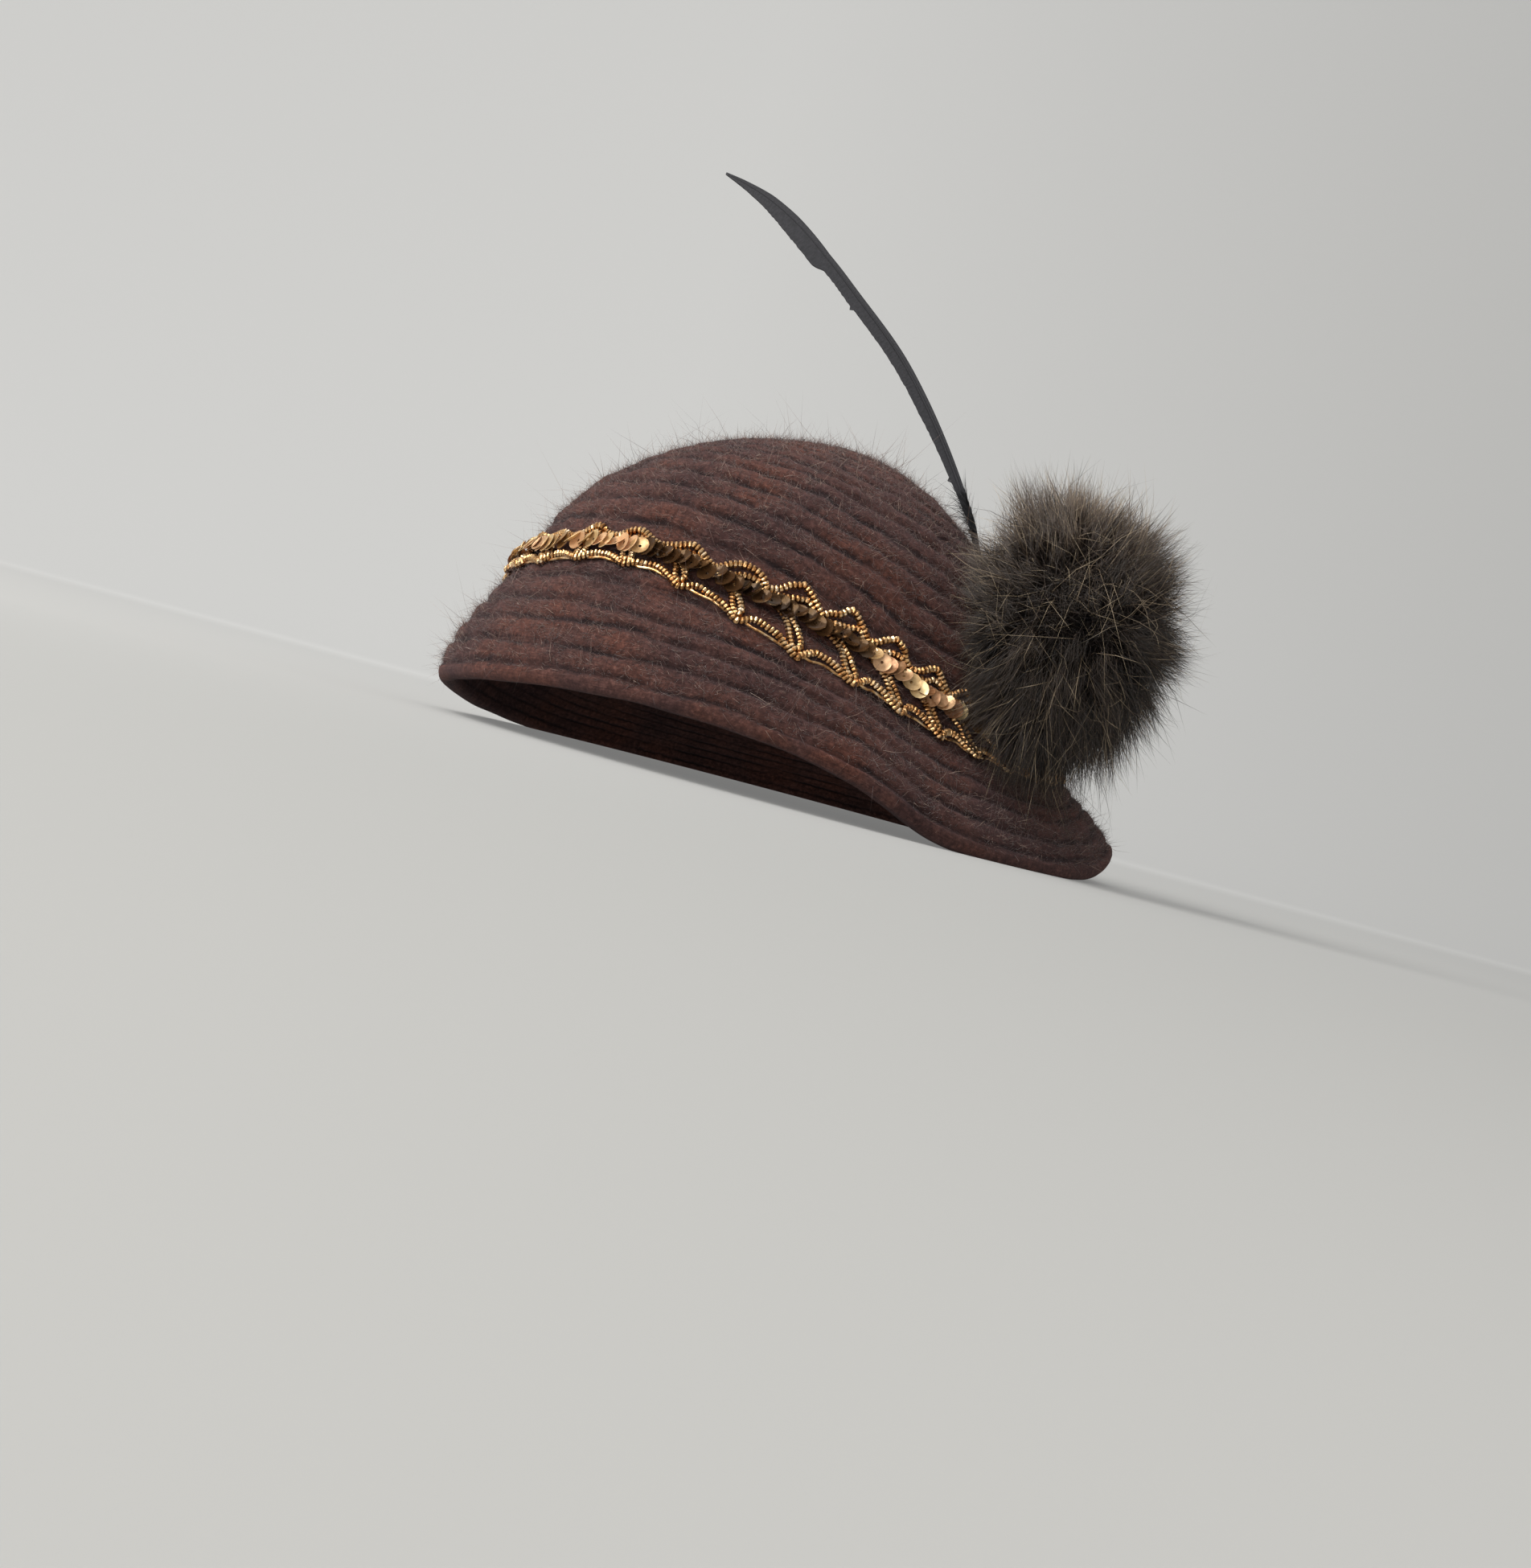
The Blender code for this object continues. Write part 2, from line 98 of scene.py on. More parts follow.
def linear(code):
    """Linear colour of an sRGB hex value."""
    parts = (int(code[i:i + 2], 16) / 255 for i in (1, 3, 5))
    return (*(p / 12.92 if p <= 0.04045 else ((p + 0.055) / 1.055) ** 2.4 for p in parts), 1.0)


def set_node(node, values):
    """Sets a node's inputs, its properties or its ramp's (place, sRGB hex) steps, or links it to a node."""
    for name, value in values.items():
        if isinstance(value, bpy.types.Node):
            value = value.outputs[0]
        if isinstance(value, bpy.types.NodeSocket):
            node.id_data.links.new(value, node.inputs[name])
        elif name == "color_ramp":
            while len(node.color_ramp.elements) < len(value):
                node.color_ramp.elements.new(0.5)
            for element, (place, code) in zip(node.color_ramp.elements, value):
                element.position = place
                element.color = linear(code)
        elif isinstance(name, int) or name in node.inputs:
            node.inputs[name].default_value = value
        else:
            setattr(node, name, value)


def add_node(tree, kind, values):
    node = tree.nodes.new("ShaderNode" + kind)
    set_node(node, values)
    return node


def new_material(name, **settings):
    """A Principled material, a function that adds a node to it, and its shader."""
    material = bpy.data.materials.new(name)
    material.use_nodes = True
    shader = material.node_tree.nodes["Principled BSDF"]
    for key, value in settings.items():
        shader.inputs[key.replace("_", " ")].default_value = value
    return material, functools.partial(add_node, material.node_tree), shader


def finished_mesh(bm, name, smooth=True):
    mesh = bpy.data.meshes.new(name)
    bm.to_mesh(mesh)
    bm.free()
    if smooth:
        mesh.shade_smooth()
    return mesh


def add_object(name, mesh, *materials):
    for material in materials:
        mesh.materials.append(material)
    made = bpy.data.objects.new(name, mesh)
    bpy.context.scene.collection.objects.link(made)
    return made


# Matte wall paint: no gloss. It has a painted glow: it gives off light, more towards the wall and behind the
# hat, standing in for a lit backdrop. It has painted shade: its colour and glow are dimmer away from the
# window.
paint, node, shader = new_material("matte_wall_paint_painted_glow", Roughness=1.0, Specular_IOR_Level=0.0)
room = node("TexCoord", {}).outputs["Object"]
outwards = node("VectorMath", {"operation": "LENGTH", 0: room}).outputs["Value"]
near_wall = node("MapRange", {"From Min": GLOW_START, "From Max": GLOW_FULL, "Value": outwards})
beyond = node("VectorMath", {"operation": "DOT_PRODUCT", 1: -back, 0: room}).outputs["Value"]
behind_hat = node("MapRange", {"From Min": GLOW_BEHIND, "Value": beyond})
glow_place = node("Math", {"operation": "MAXIMUM", 0: near_wall, 1: behind_hat})
to_right = node("VectorMath", {"operation": "DOT_PRODUCT", 1: level, 0: room}).outputs["Value"]
# Painted shade: the paint's colour and its glow fade away from the window, towards the right of the picture.
painted_window_falloff = node("MapRange", {"From Min": SHADE_START, "Value": to_right})
set_node(shader, {
    "Base Color": node("ValToRGB", {"color_ramp": STUDIO_PAINT_AND_SHADE, "Fac": painted_window_falloff}),
    "Emission Color": node("ValToRGB", {"color_ramp": STUDIO_GLOW, "Fac": glow_place}),
    "Emission Strength": node("MapRange", {"To Min": 1, "To Max": SHADE_FULL, "Value": painted_window_falloff}),
})
bm = bmesh.new()
profile = [bm.verts.new((0, 0, 0)), bm.verts.new((FLOOR_RADIUS, 0, 0))]
for step in range(1, SWEEP_STEPS + 1):
    angle = math.pi / 2 * step / SWEEP_STEPS
    across = FLOOR_RADIUS + SWEEP_RADIUS * math.sin(angle)
    profile.append(bm.verts.new((across, 0, SWEEP_RADIUS * (1 - math.cos(angle)))))
profile.append(bm.verts.new((FLOOR_RADIUS + SWEEP_RADIUS, 0, WALL_TOP)))
edges = [bm.edges.new(pair) for pair in zip(profile, profile[1:])]
bmesh.ops.spin(bm, geom=profile + edges, axis=(0, 0, 1), angle=2 * math.pi, steps=ROOM_STEPS, use_merge=True)
bmesh.ops.remove_doubles(bm, verts=bm.verts, dist=1e-5)
studio = add_object("studio", finished_mesh(bm, "studio"), paint)

LIGHTS = (
    # name, side, height, towards camera, size, watts
    ("window", -1.12, 1.15, 0.78, 1.1, 35),
    ("bounce", -0.20, 0.27, 1.00, 0.5, 3.4),
    ("top", -0.35, 1.90, -0.20, 1.6, 6),
)
for name, side, height, nearer, size, watts in LIGHTS:
    lamp = bpy.data.lights.new(name, "AREA")
    lamp.shape = "SQUARE"
    lamp.size = size
    lamp.energy = watts
    light = bpy.data.objects.new(name, lamp)
    light.visible_camera = False
    place = level * side + Vector((0, 0, height)) + Vector((back.x, back.y, 0)) * nearer
    light.matrix_world = Matrix.Translation(place) @ (-place).to_track_quat("-Z", "Y").to_matrix().to_4x4()
    bpy.context.scene.collection.objects.link(light)
world = bpy.data.worlds.new("soft_sky")
world.use_nodes = True
set_node(world.node_tree.nodes["Background"], {"Color": linear("#eef1f4"), "Strength": SKY_STRENGTH})
bpy.context.scene.world = world
bpy.context.scene.view_settings.view_transform = "Standard"


# Shell of the hat: one brushed mohair cord, worked round and round from the crown's tip to the rolled edge,
# so that crown and brim are one ribbed piece. The same sections shape it as shape the solid that it covers.
BRIM_LENGTH = 0.249
BRIM_WIDTH = 0.222
BRIM_HIGHEST_LIFT = 0.0192
BASE_LENGTH = 0.192
BASE_WIDTH = 0.170
BASE_FORWARD = 0.007
BASE_HEIGHT = 0.0685
CROWN_HEIGHT = 0.1265
CROWN_TIP_ASIDE = -0.021
CROWN_TIP_BACK = 0.008
WALL = 0.0034
RIB_RELIEF = 0.0016
RIB_WANDER = 0.0011
LUMP_HEIGHT = 0.0007
LUMPS_PER_METRE = 140
CORD_ROUND = 0.60
CORD_RISE = 0.39
CROWN_RIBS = 16
EDGE_ROLL_RADIUS = 0.0034
ROLL_DEPTH = 1.2
REST_PRESS = 0.0008
SHELL_SECTIONS = (
    # turn, edge_lift, base_lift, edge_slope, base_slope, roundness
    (0, 0.66, 0.950, 82, 62, 1.75),
    (30, 0.96, 1.000, 76, 60, 1.90),
    (55, 1.00, 0.935, 70, 58, 2.00),
    (75, 0.70, 0.800, 66, 58, 2.00),
    (90, 0.13, 0.680, 64, 60, 2.00),
    (105, -0.02, 0.605, 60, 62, 1.90),
    (128, 0.07, 0.575, 50, 58, 1.70),
    (155, 0.52, 0.605, 48, 56, 1.60),
    (190, 0.03, 0.570, 56, 58, 1.70),
    (235, -0.02, 0.535, 62, 60, 2.00),
    (288, -0.02, 0.580, 68, 62, 1.90),
    (312, 0.16, 0.730, 76, 62, 1.70),
    (335, 0.44, 0.860, 84, 62, 1.60),
)
# Grooves between the brim's ribs, as shares of the way from the edge to the base line, unevenly worked.
BRIM_GROOVES = (0.035, 0.195, 0.37, 0.505, 0.70, 0.87, 1.0)
SECTION_STEPS = 72
TABLE_TURNS = 720
TABLE_SHARES = 90
SHELL_COLUMNS = 360
OUTER_ROWS = 144
BRIM_ROWS = 0.3
INNER_ROWS = 20
ROLL_ROWS = 10


def unit(vectors):
    return vectors / np.maximum(np.linalg.norm(vectors, axis=-1), 1e-9)[..., None]


def cubic(start, end, leave, arrive, s):
    """Values at shares s of the way along a cubic, from its ends and its slopes there."""
    return (
        start * (2 * s**3 - 3 * s**2 + 1) + leave * (s**3 - 2 * s**2 + s)
        + end * (3 * s**2 - 2 * s**3) + arrive * (s**3 - s**2)
    )


def course(rows, column, turn):
    """Value of a table's column at each turn, on a smooth closed curve through its rows."""
    at = np.array([row[0] for row in rows], float)
    value = np.array([row[column] for row in rows], float)
    at = np.concatenate((at[-2:] - 360, at, at[:2] + 360))
    value = np.concatenate((value[-2:], value, value[:2]))
    turn = np.asarray(turn, float) % 360
    i = np.searchsorted(at, turn, side="right") - 1
    span = at[i + 1] - at[i]
    s = (turn - at[i]) / span
    leave = (value[i + 1] - value[i - 1]) / (at[i + 1] - at[i - 1]) * span
    arrive = (value[i + 2] - value[i]) / (at[i + 2] - at[i]) * span
    return cubic(value[i], value[i + 1], leave, arrive, s)


def shell_table():
    """Places on the smooth shell by turn and share: -1 is the edge, 0 the base line and 1 the tip."""
    turn = np.arange(TABLE_TURNS) * 360 / TABLE_TURNS
    lift, base_lift, edge_slope, base_slope, roundness = (
        course(SHELL_SECTIONS, column, turn) for column in range(1, 6)
    )
    angle = np.radians(turn)
    edge = np.stack((
        BRIM_WIDTH / 2 * np.sin(angle),
        -BRIM_LENGTH / 2 * np.cos(angle),
        BRIM_HIGHEST_LIFT * lift + EDGE_ROLL_RADIUS * ROLL_DEPTH,
    ), 1)
    base = np.stack((
        BASE_WIDTH / 2 * np.sin(angle),
        -BASE_LENGTH / 2 * np.cos(angle) - BASE_FORWARD,
        BASE_HEIGHT * base_lift,
    ), 1)
    inward = unit((base - edge) * (1, 1, 0))
    up = np.array((0, 0, 1.0))
    handle = np.linalg.norm(base - edge, axis=1)[:, None] / 3
    edge_slope, base_slope = np.radians(edge_slope)[:, None], np.radians(base_slope)[:, None]
    edge_handle = edge + handle * (inward * np.cos(edge_slope) + up * np.sin(edge_slope))
    base_handle = base - handle * (inward * np.cos(base_slope) + up * np.sin(base_slope))
    s = (np.arange(SECTION_STEPS) / SECTION_STEPS)[None, :, None]
    brim = (
        edge[:, None] * (1 - s) ** 3
        + edge_handle[:, None] * 3 * s * (1 - s) ** 2
        + base_handle[:, None] * 3 * s**2 * (1 - s)
        + base[:, None] * s**3
    )
    phase = np.linspace(0, np.pi / 2, SECTION_STEPS + 1)[None, :]
    out = (np.maximum(np.cos(phase), 0) ** (2 / roundness[:, None]))[:, :, None]
    rise = np.sin(phase) ** (2 / roundness[:, None])
    tip = np.array((CROWN_TIP_ASIDE, CROWN_TIP_BACK, CROWN_HEIGHT))
    crown = tip + (base[:, None] - tip) * out
    crown[:, :, 2] = base[:, None, 2] + (CROWN_HEIGHT - base[:, None, 2]) * rise
    points = np.concatenate((brim, crown), 1)
    steps = np.linalg.norm(np.diff(points, axis=1), axis=2)
    lengths = np.concatenate((np.zeros((TABLE_TURNS, 1)), np.cumsum(steps, 1)), 1)
    lengths -= lengths[:, SECTION_STEPS][:, None]
    brim_length, crown_length = -lengths[:, 0], lengths[:, -1]
    share = np.linspace(-1, 1, 2 * TABLE_SHARES + 1)
    table = np.empty((TABLE_TURNS, len(share), 3))
    for i in range(TABLE_TURNS):
        along = np.where(share < 0, share * brim_length[i], share * crown_length[i])
        for axis in range(3):
            table[i, :, axis] = np.interp(along, lengths[i], points[i, :, axis])
    return table, brim_length, crown_length


def shell_normals(table):
    around = np.roll(table, -3, 0) - np.roll(table, 3, 0)
    around[:, -5:] = around[:, -6:-5]
    return unit(np.cross(around, np.gradient(table, axis=1)))


SHELL, BRIM_REACH, CROWN_REACH = shell_table()
SHELL_OUT = shell_normals(SHELL)


def read_table(table, turn, share):
    """Values of a table between its turns and shares."""
    a = turn % 360 / 360 * TABLE_TURNS
    b = (np.clip(share, -1, 1) + 1) * TABLE_SHARES
    i = np.floor(a).astype(int) % TABLE_TURNS
    j = np.minimum(np.floor(b).astype(int), 2 * TABLE_SHARES - 1)
    s, t = (a - np.floor(a))[..., None], (b - j)[..., None]
    after = (i + 1) % TABLE_TURNS
    low = table[i, j] * (1 - s) + table[after, j] * s
    high = table[i, j + 1] * (1 - s) + table[after, j + 1] * s
    return low * (1 - t) + high * t


def reach_at(turn):
    """Lengths of the brim and of the crown at each turn."""
    at = np.arange(TABLE_TURNS) * 360 / TABLE_TURNS
    return np.interp(turn, at, BRIM_REACH, period=360), np.interp(turn, at, CROWN_REACH, period=360)


def shell(turn, share, height=0.0):
    """Places at a height above the smooth shell, and the outward directions there."""
    out = unit(read_table(SHELL_OUT, turn, share))
    place = read_table(SHELL, turn, share) + out * np.asarray(height)[..., None]
    place[..., 2] = np.maximum(place[..., 2] - REST_PRESS, 0.0)
    return place, out


def shell_along(turn, along, height=0.0):
    brim, crown = reach_at(turn)
    return shell(turn, np.where(along < 0, along / brim, along / crown), height)


def waver(turn, rows, scale):
    """A slow wander round the hat for each row, from -1 to 1, that closes on itself."""
    total = np.zeros(np.broadcast(turn, rows).shape)
    seeds = np.random.default_rng(scale)
    waves = seeds.uniform(0, 360, (64, 5))
    for k in range(5):
        cycles = scale * (k + 1) // 2 + k
        total += np.sin(np.radians(turn * cycles + waves[rows % 64, k])) / (1 + 0.4 * k)
    return total / 2.2


def rib_height(turn, share):
    """Height of the ribbed face over the smooth one, and a rib number that is whole in each groove."""
    grooves = np.concatenate(([-1.12], np.array(BRIM_GROOVES) - 1, np.arange(1, CROWN_RIBS + 1) / CROWN_RIBS))
    brim, crown = reach_at(turn)
    reach = np.where(share < 0, brim, crown)
    wander = RIB_WANDER / reach * (share < 0.94)

    def place_in(rib):
        low, high = (grooves[k] + wander * waver(turn, k, 9) for k in (rib, rib + 1))
        return (share - low) / (high - low)

    last = len(grooves) - 2
    rib = np.clip(np.searchsorted(grooves, share, side="right") - 1, 0, last)
    first = place_in(rib)
    rib = np.clip(rib - (first < 0) + (first > 1), 0, last)
    place = np.clip(place_in(rib), 0, 1)
    depth = np.clip(0.85 + 0.35 * waver(turn, np.where(place < 0.5, rib, rib + 1), 13), 0.35, 1.2)
    dome = (1 - np.abs(2 * place - 1) ** 3.4) ** 0.9
    return RIB_RELIEF * (1.10 - depth * 1.15 * (1 - dome)), rib + place


def float_attribute(mesh, name, values):
    layer = mesh.attributes.new(name, "FLOAT", "POINT")
    layer.data.foreach_set("value", np.asarray(values, np.float32).ravel())


def close_grid(bm, places, name, values, merge):
    """Puts a grid's points in place with a value each, merges its seams and turns its faces outwards."""
    layer = bm.verts.layers.float.new(name)
    for vert, place, value in zip(bm.verts, places, values):
        vert.co = place
        vert[layer] = value
    bmesh.ops.remove_doubles(bm, verts=bm.verts, dist=merge)
    bmesh.ops.recalc_face_normals(bm, faces=bm.faces)


def make_shell():
    """Inner wall from the tip down, the roll, and the ribbed outer face up to the tip, from one grid."""
    rows = INNER_ROWS + ROLL_ROWS + OUTER_ROWS
    bm = bmesh.new()
    uv = bm.loops.layers.uv.new("cord")
    bmesh.ops.create_grid(bm, x_segments=SHELL_COLUMNS, y_segments=rows, size=0.5, calc_uvs=True)
    at = np.array([vert.co[:2] for vert in bm.verts]) + 0.5
    turn, row = at[:, 0] * 360, np.rint(at[:, 1] * rows)
    place = np.zeros((len(turn), 3))
    rib = np.zeros(len(turn))
    inner = row < INNER_ROWS
    outer = row > INNER_ROWS + ROLL_ROWS
    roll = ~inner & ~outer
    down = 1 - 2 * row[inner] / INNER_ROWS
    place[inner] = shell(turn[inner], down, -WALL)[0]
    rib[inner] = -0.5 + (1 + down) * 11
    climb = (row[outer] - INNER_ROWS - ROLL_ROWS) / OUTER_ROWS
    share = np.where(climb < BRIM_ROWS, climb / BRIM_ROWS - 1, (climb - BRIM_ROWS) / (1 - BRIM_ROWS))
    height, rib[outer] = rib_height(turn[outer], share)
    place[outer] = shell(turn[outer], share, height)[0]
    sweep = np.pi * (row[roll] - INNER_ROWS) / ROLL_ROWS
    start, out = read_table(SHELL, turn[roll], -1.0), read_table(SHELL_OUT, turn[roll], -1.0)
    up = unit(read_table(SHELL, turn[roll], -0.97) - start)
    swell = EDGE_ROLL_RADIUS * (1 + 0.10 * waver(turn[roll], np.zeros(roll.sum(), int), 11))
    centre = start - out * EDGE_ROLL_RADIUS / 2
    rolled = centre - swell[:, None] * (up * np.sin(sweep)[:, None] + out * np.cos(sweep)[:, None])
    rolled[:, 2] = np.maximum(rolled[:, 2] - REST_PRESS, 0)
    place[roll] = rolled
    rib[roll] = -0.5 + 1.27 * sweep / np.pi
    lumps = np.array([noise.fractal(Vector(p) * LUMPS_PER_METRE, 0.8, 2.0, 3) for p in place])
    out = np.zeros_like(place)
    out[outer] = shell(turn[outer], share)[1]
    place += out * (lumps * LUMP_HEIGHT)[:, None]
    place[:, 2] = np.maximum(place[:, 2], 0)
    for tip_row in (row == 0, row == rows):
        place[tip_row] = place[tip_row].mean(0)
    for face in bm.faces:
        for loop in face.loops:
            loop[uv].uv = (loop[uv].uv.x * CORD_ROUND, loop[uv].uv.y * CORD_RISE)
    close_grid(bm, place, "rib", rib, 1e-6)
    return finished_mesh(bm, "shell")


# Brushed mohair: dyed dark brown wool with a raised nap. Fibres lie along the cord, so the colour streaks
# that way, and the nap gives a soft mauve bloom and no gloss. The grooves are thin, broken lines of painted
# shade, darkened nearly to black.
mohair, node, shader = new_material(
    "brushed_mohair", Roughness=0.95, Specular_IOR_Level=0.12, Sheen_Weight=0.22, Sheen_Roughness=0.6,
    Sheen_Tint=linear("#9a8284"),
)
STREAK_LENGTH = 0.009
STREAK_WIDTH = 0.0011
TUFT = 0.0016
DYE_PATCHES_PER_METRE = 45
FRAYS_PER_METRE = 240
FRAY_SHARE = 0.28
BREAKS = (45, 190, 1)
MOHAIR_COLOURS = ((0.32, "#2a1d1d"), (0.46, "#48342f"), (0.55, "#5f4640"), (0.70, "#84685f"))
DYE_TONES = ((0.36, "#ada2a6"), (0.5, "#cdbdba"), (0.64, "#dfc0b1"))
place = node("TexCoord", {}).outputs["Object"]
cord = node("UVMap", {"uv_map": "cord"})
along_cord = node("Mapping", {"Scale": (1 / STREAK_LENGTH, 1 / STREAK_WIDTH, 1), "Vector": cord})
streaks = node(
    "TexNoise",
    {"Scale": 1.0, "Detail": 6.0, "Roughness": 0.7, "Distortion": 0.8, "Vector": along_cord},
)
tufts = node("TexNoise", {"Scale": 1 / TUFT, "Detail": 5.0, "Roughness": 0.75, "Vector": place})
fibres = node("Mix", {0: 0.66, 2: streaks, 3: tufts})
fibre_colour = node("ValToRGB", {"color_ramp": MOHAIR_COLOURS, "Fac": fibres})
dye = node("TexNoise", {"Scale": DYE_PATCHES_PER_METRE, "Detail": 4.0, "Vector": place})
tone = node("ValToRGB", {"color_ramp": DYE_TONES, "Fac": dye})
toned = node("Mix", {"data_type": "RGBA", "blend_type": "MULTIPLY", 0: 1, 6: fibre_colour, 7: tone})
# Painted shade: the colour is darkened nearly to black along the grooves between the ribs, in broken lines.
rib = node("Attribute", {"attribute_name": "rib"}).outputs["Fac"]
frayed = node("TexNoise", {"Scale": FRAYS_PER_METRE, "Detail": 5.0, "Roughness": 0.8, "Vector": place})
fray = node("Math", {"operation": "MULTIPLY_ADD", 1: 2 * FRAY_SHARE, 2: -FRAY_SHARE, 0: frayed})
frayed_rib = node("Math", {"operation": "ADD", 0: rib, 1: fray})
in_rib = node("Math", {"operation": "FRACT", 0: frayed_rib})
from_middle = node("Math", {"operation": "MULTIPLY_ADD", 1: 2.0, 2: -1.0, 0: in_rib})
sideways = node("Math", {"operation": "ABSOLUTE", 0: from_middle})
groove = node(
    "MapRange", {"From Min": 0.5, "From Max": 1, "interpolation_type": "SMOOTHSTEP", "Value": sideways},
)
broken_map = node("Mapping", {"Scale": BREAKS, "Vector": cord})
broken = node("TexNoise", {"Scale": 1.0, "Detail": 3.0, "Vector": broken_map})
strength = node(
    "MapRange", {"From Min": 0.35, "From Max": 0.60, "To Min": 0.25, "To Max": 0.95, "Value": broken},
)
shade = node("Math", {"operation": "MULTIPLY", 0: groove, 1: strength})
shaded = node("Mix", {"data_type": "RGBA", 7: linear("#0f0a0b"), 0: shade, 6: toned.outputs[2]})
height = node("Math", {"operation": "MULTIPLY_ADD", 1: -0.6, 0: shade, 2: fibres})
nap = node("Bump", {"Strength": 0.85, "Distance": 0.0009, "Height": height})
set_node(shader, {"Base Color": shaded.outputs[2], "Normal": nap})

hat = add_object("mohair_shell", make_shell(), mohair)
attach(hat, "root")
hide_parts("hat_body")


# Nap of the mohair: fine hairs brushed up out of the cord. Most lie nearly flat along the ribs, and some
# stand out as a soft halo round the hat. They are drawn a little thicker than real ones, which are about
# 0.04 mm.
NAP_EACH = 31500
HALO_HAIRS = 13000
NAP_RADIUS = 0.000068
HALO_RADIUS = 0.000054
LONG_HAIRS = 24


def shape_arrays(bm):
    """The points of a small shape, and its faces as lists of their numbers."""
    bm.verts.index_update()
    points = np.array([vert.co[:] for vert in bm.verts])
    faces = [[vert.index for vert in face.verts] for face in bm.faces]
    bm.free()
    return points, faces


def hair_shape(joints):
    """A three-sided hair that tapers late to a point, a unit thick along X and Y and a unit long along Z."""
    bm = bmesh.new()
    bmesh.ops.create_cone(bm, cap_ends=True, segments=3, radius1=1, radius2=0, depth=1)
    bmesh.ops.translate(bm, verts=bm.verts, vec=(0, 0, 0.5))
    bmesh.ops.remove_doubles(bm, verts=bm.verts, dist=1e-4)
    for joint in range(1, joints):
        parts = bm.verts[:] + bm.edges[:] + bm.faces[:]
        bmesh.ops.bisect_plane(bm, geom=parts, plane_co=(0, 0, joint / joints), plane_no=(0, 0, 1))
    bmesh.ops.recalc_face_normals(bm, faces=bm.faces)
    points, faces = shape_arrays(bm)
    inner = points[:, 2] < 0.99
    points[inner, :2] *= ((1 - points[inner, 2:] ** 3) / (1 - points[inner, 2:]))
    return points, faces


def repeat_shape(name, faces, places):
    """One mesh of many bent copies of a small shape. Places holds the points of each copy."""
    copies, count = places.shape[:2]
    corners = np.concatenate(faces)
    sizes = np.array([len(face) for face in faces])
    starts = np.concatenate(([0], np.cumsum(np.tile(sizes, copies))[:-1]))
    mesh = bpy.data.meshes.new(name)
    mesh.vertices.add(copies * count)
    mesh.vertices.foreach_set("co", places.astype(np.float32).ravel())
    mesh.loops.add(copies * len(corners))
    numbers = corners[None] + np.arange(copies)[:, None] * count
    mesh.loops.foreach_set("vertex_index", numbers.astype(np.int32).ravel())
    mesh.polygons.add(copies * len(faces))
    mesh.polygons.foreach_set("loop_start", starts.astype(np.int32))
    mesh.update(calc_edges=True)
    mesh.shade_smooth()
    return mesh


def turned_copies(points, *axes):
    """The points of a small shape, once for each row of the axes that its X, Y and Z turn to."""
    return sum(axis[:, None] * points[None, :, k, None] for k, axis in enumerate(axes))


def hairs(name, joints, roots, starts, bends, lengths, radii, shades, tip_shade=0.0):
    """Hairs that leave their roots one way and bend towards another."""
    points, faces = hair_shape(joints)
    t = points[None, :, 2, None]
    line = roots[:, None] + lengths[:, None, None] * (starts[:, None] * t + bends[:, None] * t**2)
    side = unit(np.cross(starts, unit(draw.normal(size=starts.shape))))
    other = unit(np.cross(starts, side))
    places = line + radii[:, None, None] * turned_copies(points, side, other)
    places[:, :, 2] = np.maximum(places[:, :, 2], 0.0001)
    mesh = repeat_shape(name, faces, places)
    # tip_shade lightens each hair towards its tip; the nap and the fur use it for painted light and shade.
    float_attribute(mesh, "shade", shades[:, None] + tip_shade * points[None, :, 2])
    return mesh


def shell_spots(count):
    """Random places spread evenly over the outer face, as turns and shares."""
    across = np.linalg.norm(np.roll(SHELL, -1, 0) - SHELL, axis=2)[:, :-1]
    down = np.linalg.norm(np.diff(SHELL, axis=1), axis=2)
    area = (across * down).ravel()
    cell = draw.choice(len(area), count, p=area / area.sum())
    i, j = np.divmod(cell, 2 * TABLE_SHARES)
    turn = (i + draw.random(count)) * 360 / TABLE_TURNS
    return turn, (j + draw.random(count)) / TABLE_SHARES - 1


def hair_material(name, colours, **settings):
    """A material that takes its colour from the shade of each hair."""
    material, node, shader = new_material(name, **settings)
    shade = node("Attribute", {"attribute_name": "shade"}).outputs["Fac"]
    set_node(shader, {"Base Color": node("ValToRGB", {"color_ramp": colours, "Fac": shade})})
    return material


# Mohair fibre: fine, smooth, slightly see-through, so it shows pale brown against the hat and dark against
# light. The material lets no light through: the paler halo is painted light in the hairs' shades, and the
# darker hairs in the grooves are painted shade.
FIBRE_COLOURS = ((0.0, "#1c1415"), (0.5, "#4e3b38"), (0.85, "#6f554b"), (1.0, "#a08878"))
mohair_hair = hair_material(
    "mohair_fibre", FIBRE_COLOURS, Roughness=0.55, Specular_IOR_Level=0.3, Sheen_Weight=0.2,
)


def brushed(turn, share, lift, loose):
    """Roots, and directions that run along the ribs with a lift away from the shell."""
    height, rib = rib_height(turn, share)
    root, out = shell(turn, share, height - 0.0002)
    around = unit(shell(turn + 1, share)[0] - shell(turn - 1, share)[0])
    around *= np.sign(draw.normal(size=(len(turn), 1)))
    start = out * np.sin(lift)[:, None] + around * np.cos(lift)[:, None] + draw.normal(size=out.shape) * loose
    inside = np.minimum((start * out).sum(1) - 0.05, 0)
    start = unit(start - out * inside[:, None])
    groove = np.abs(2 * (rib % 1) - 1)
    return root, out, start, groove


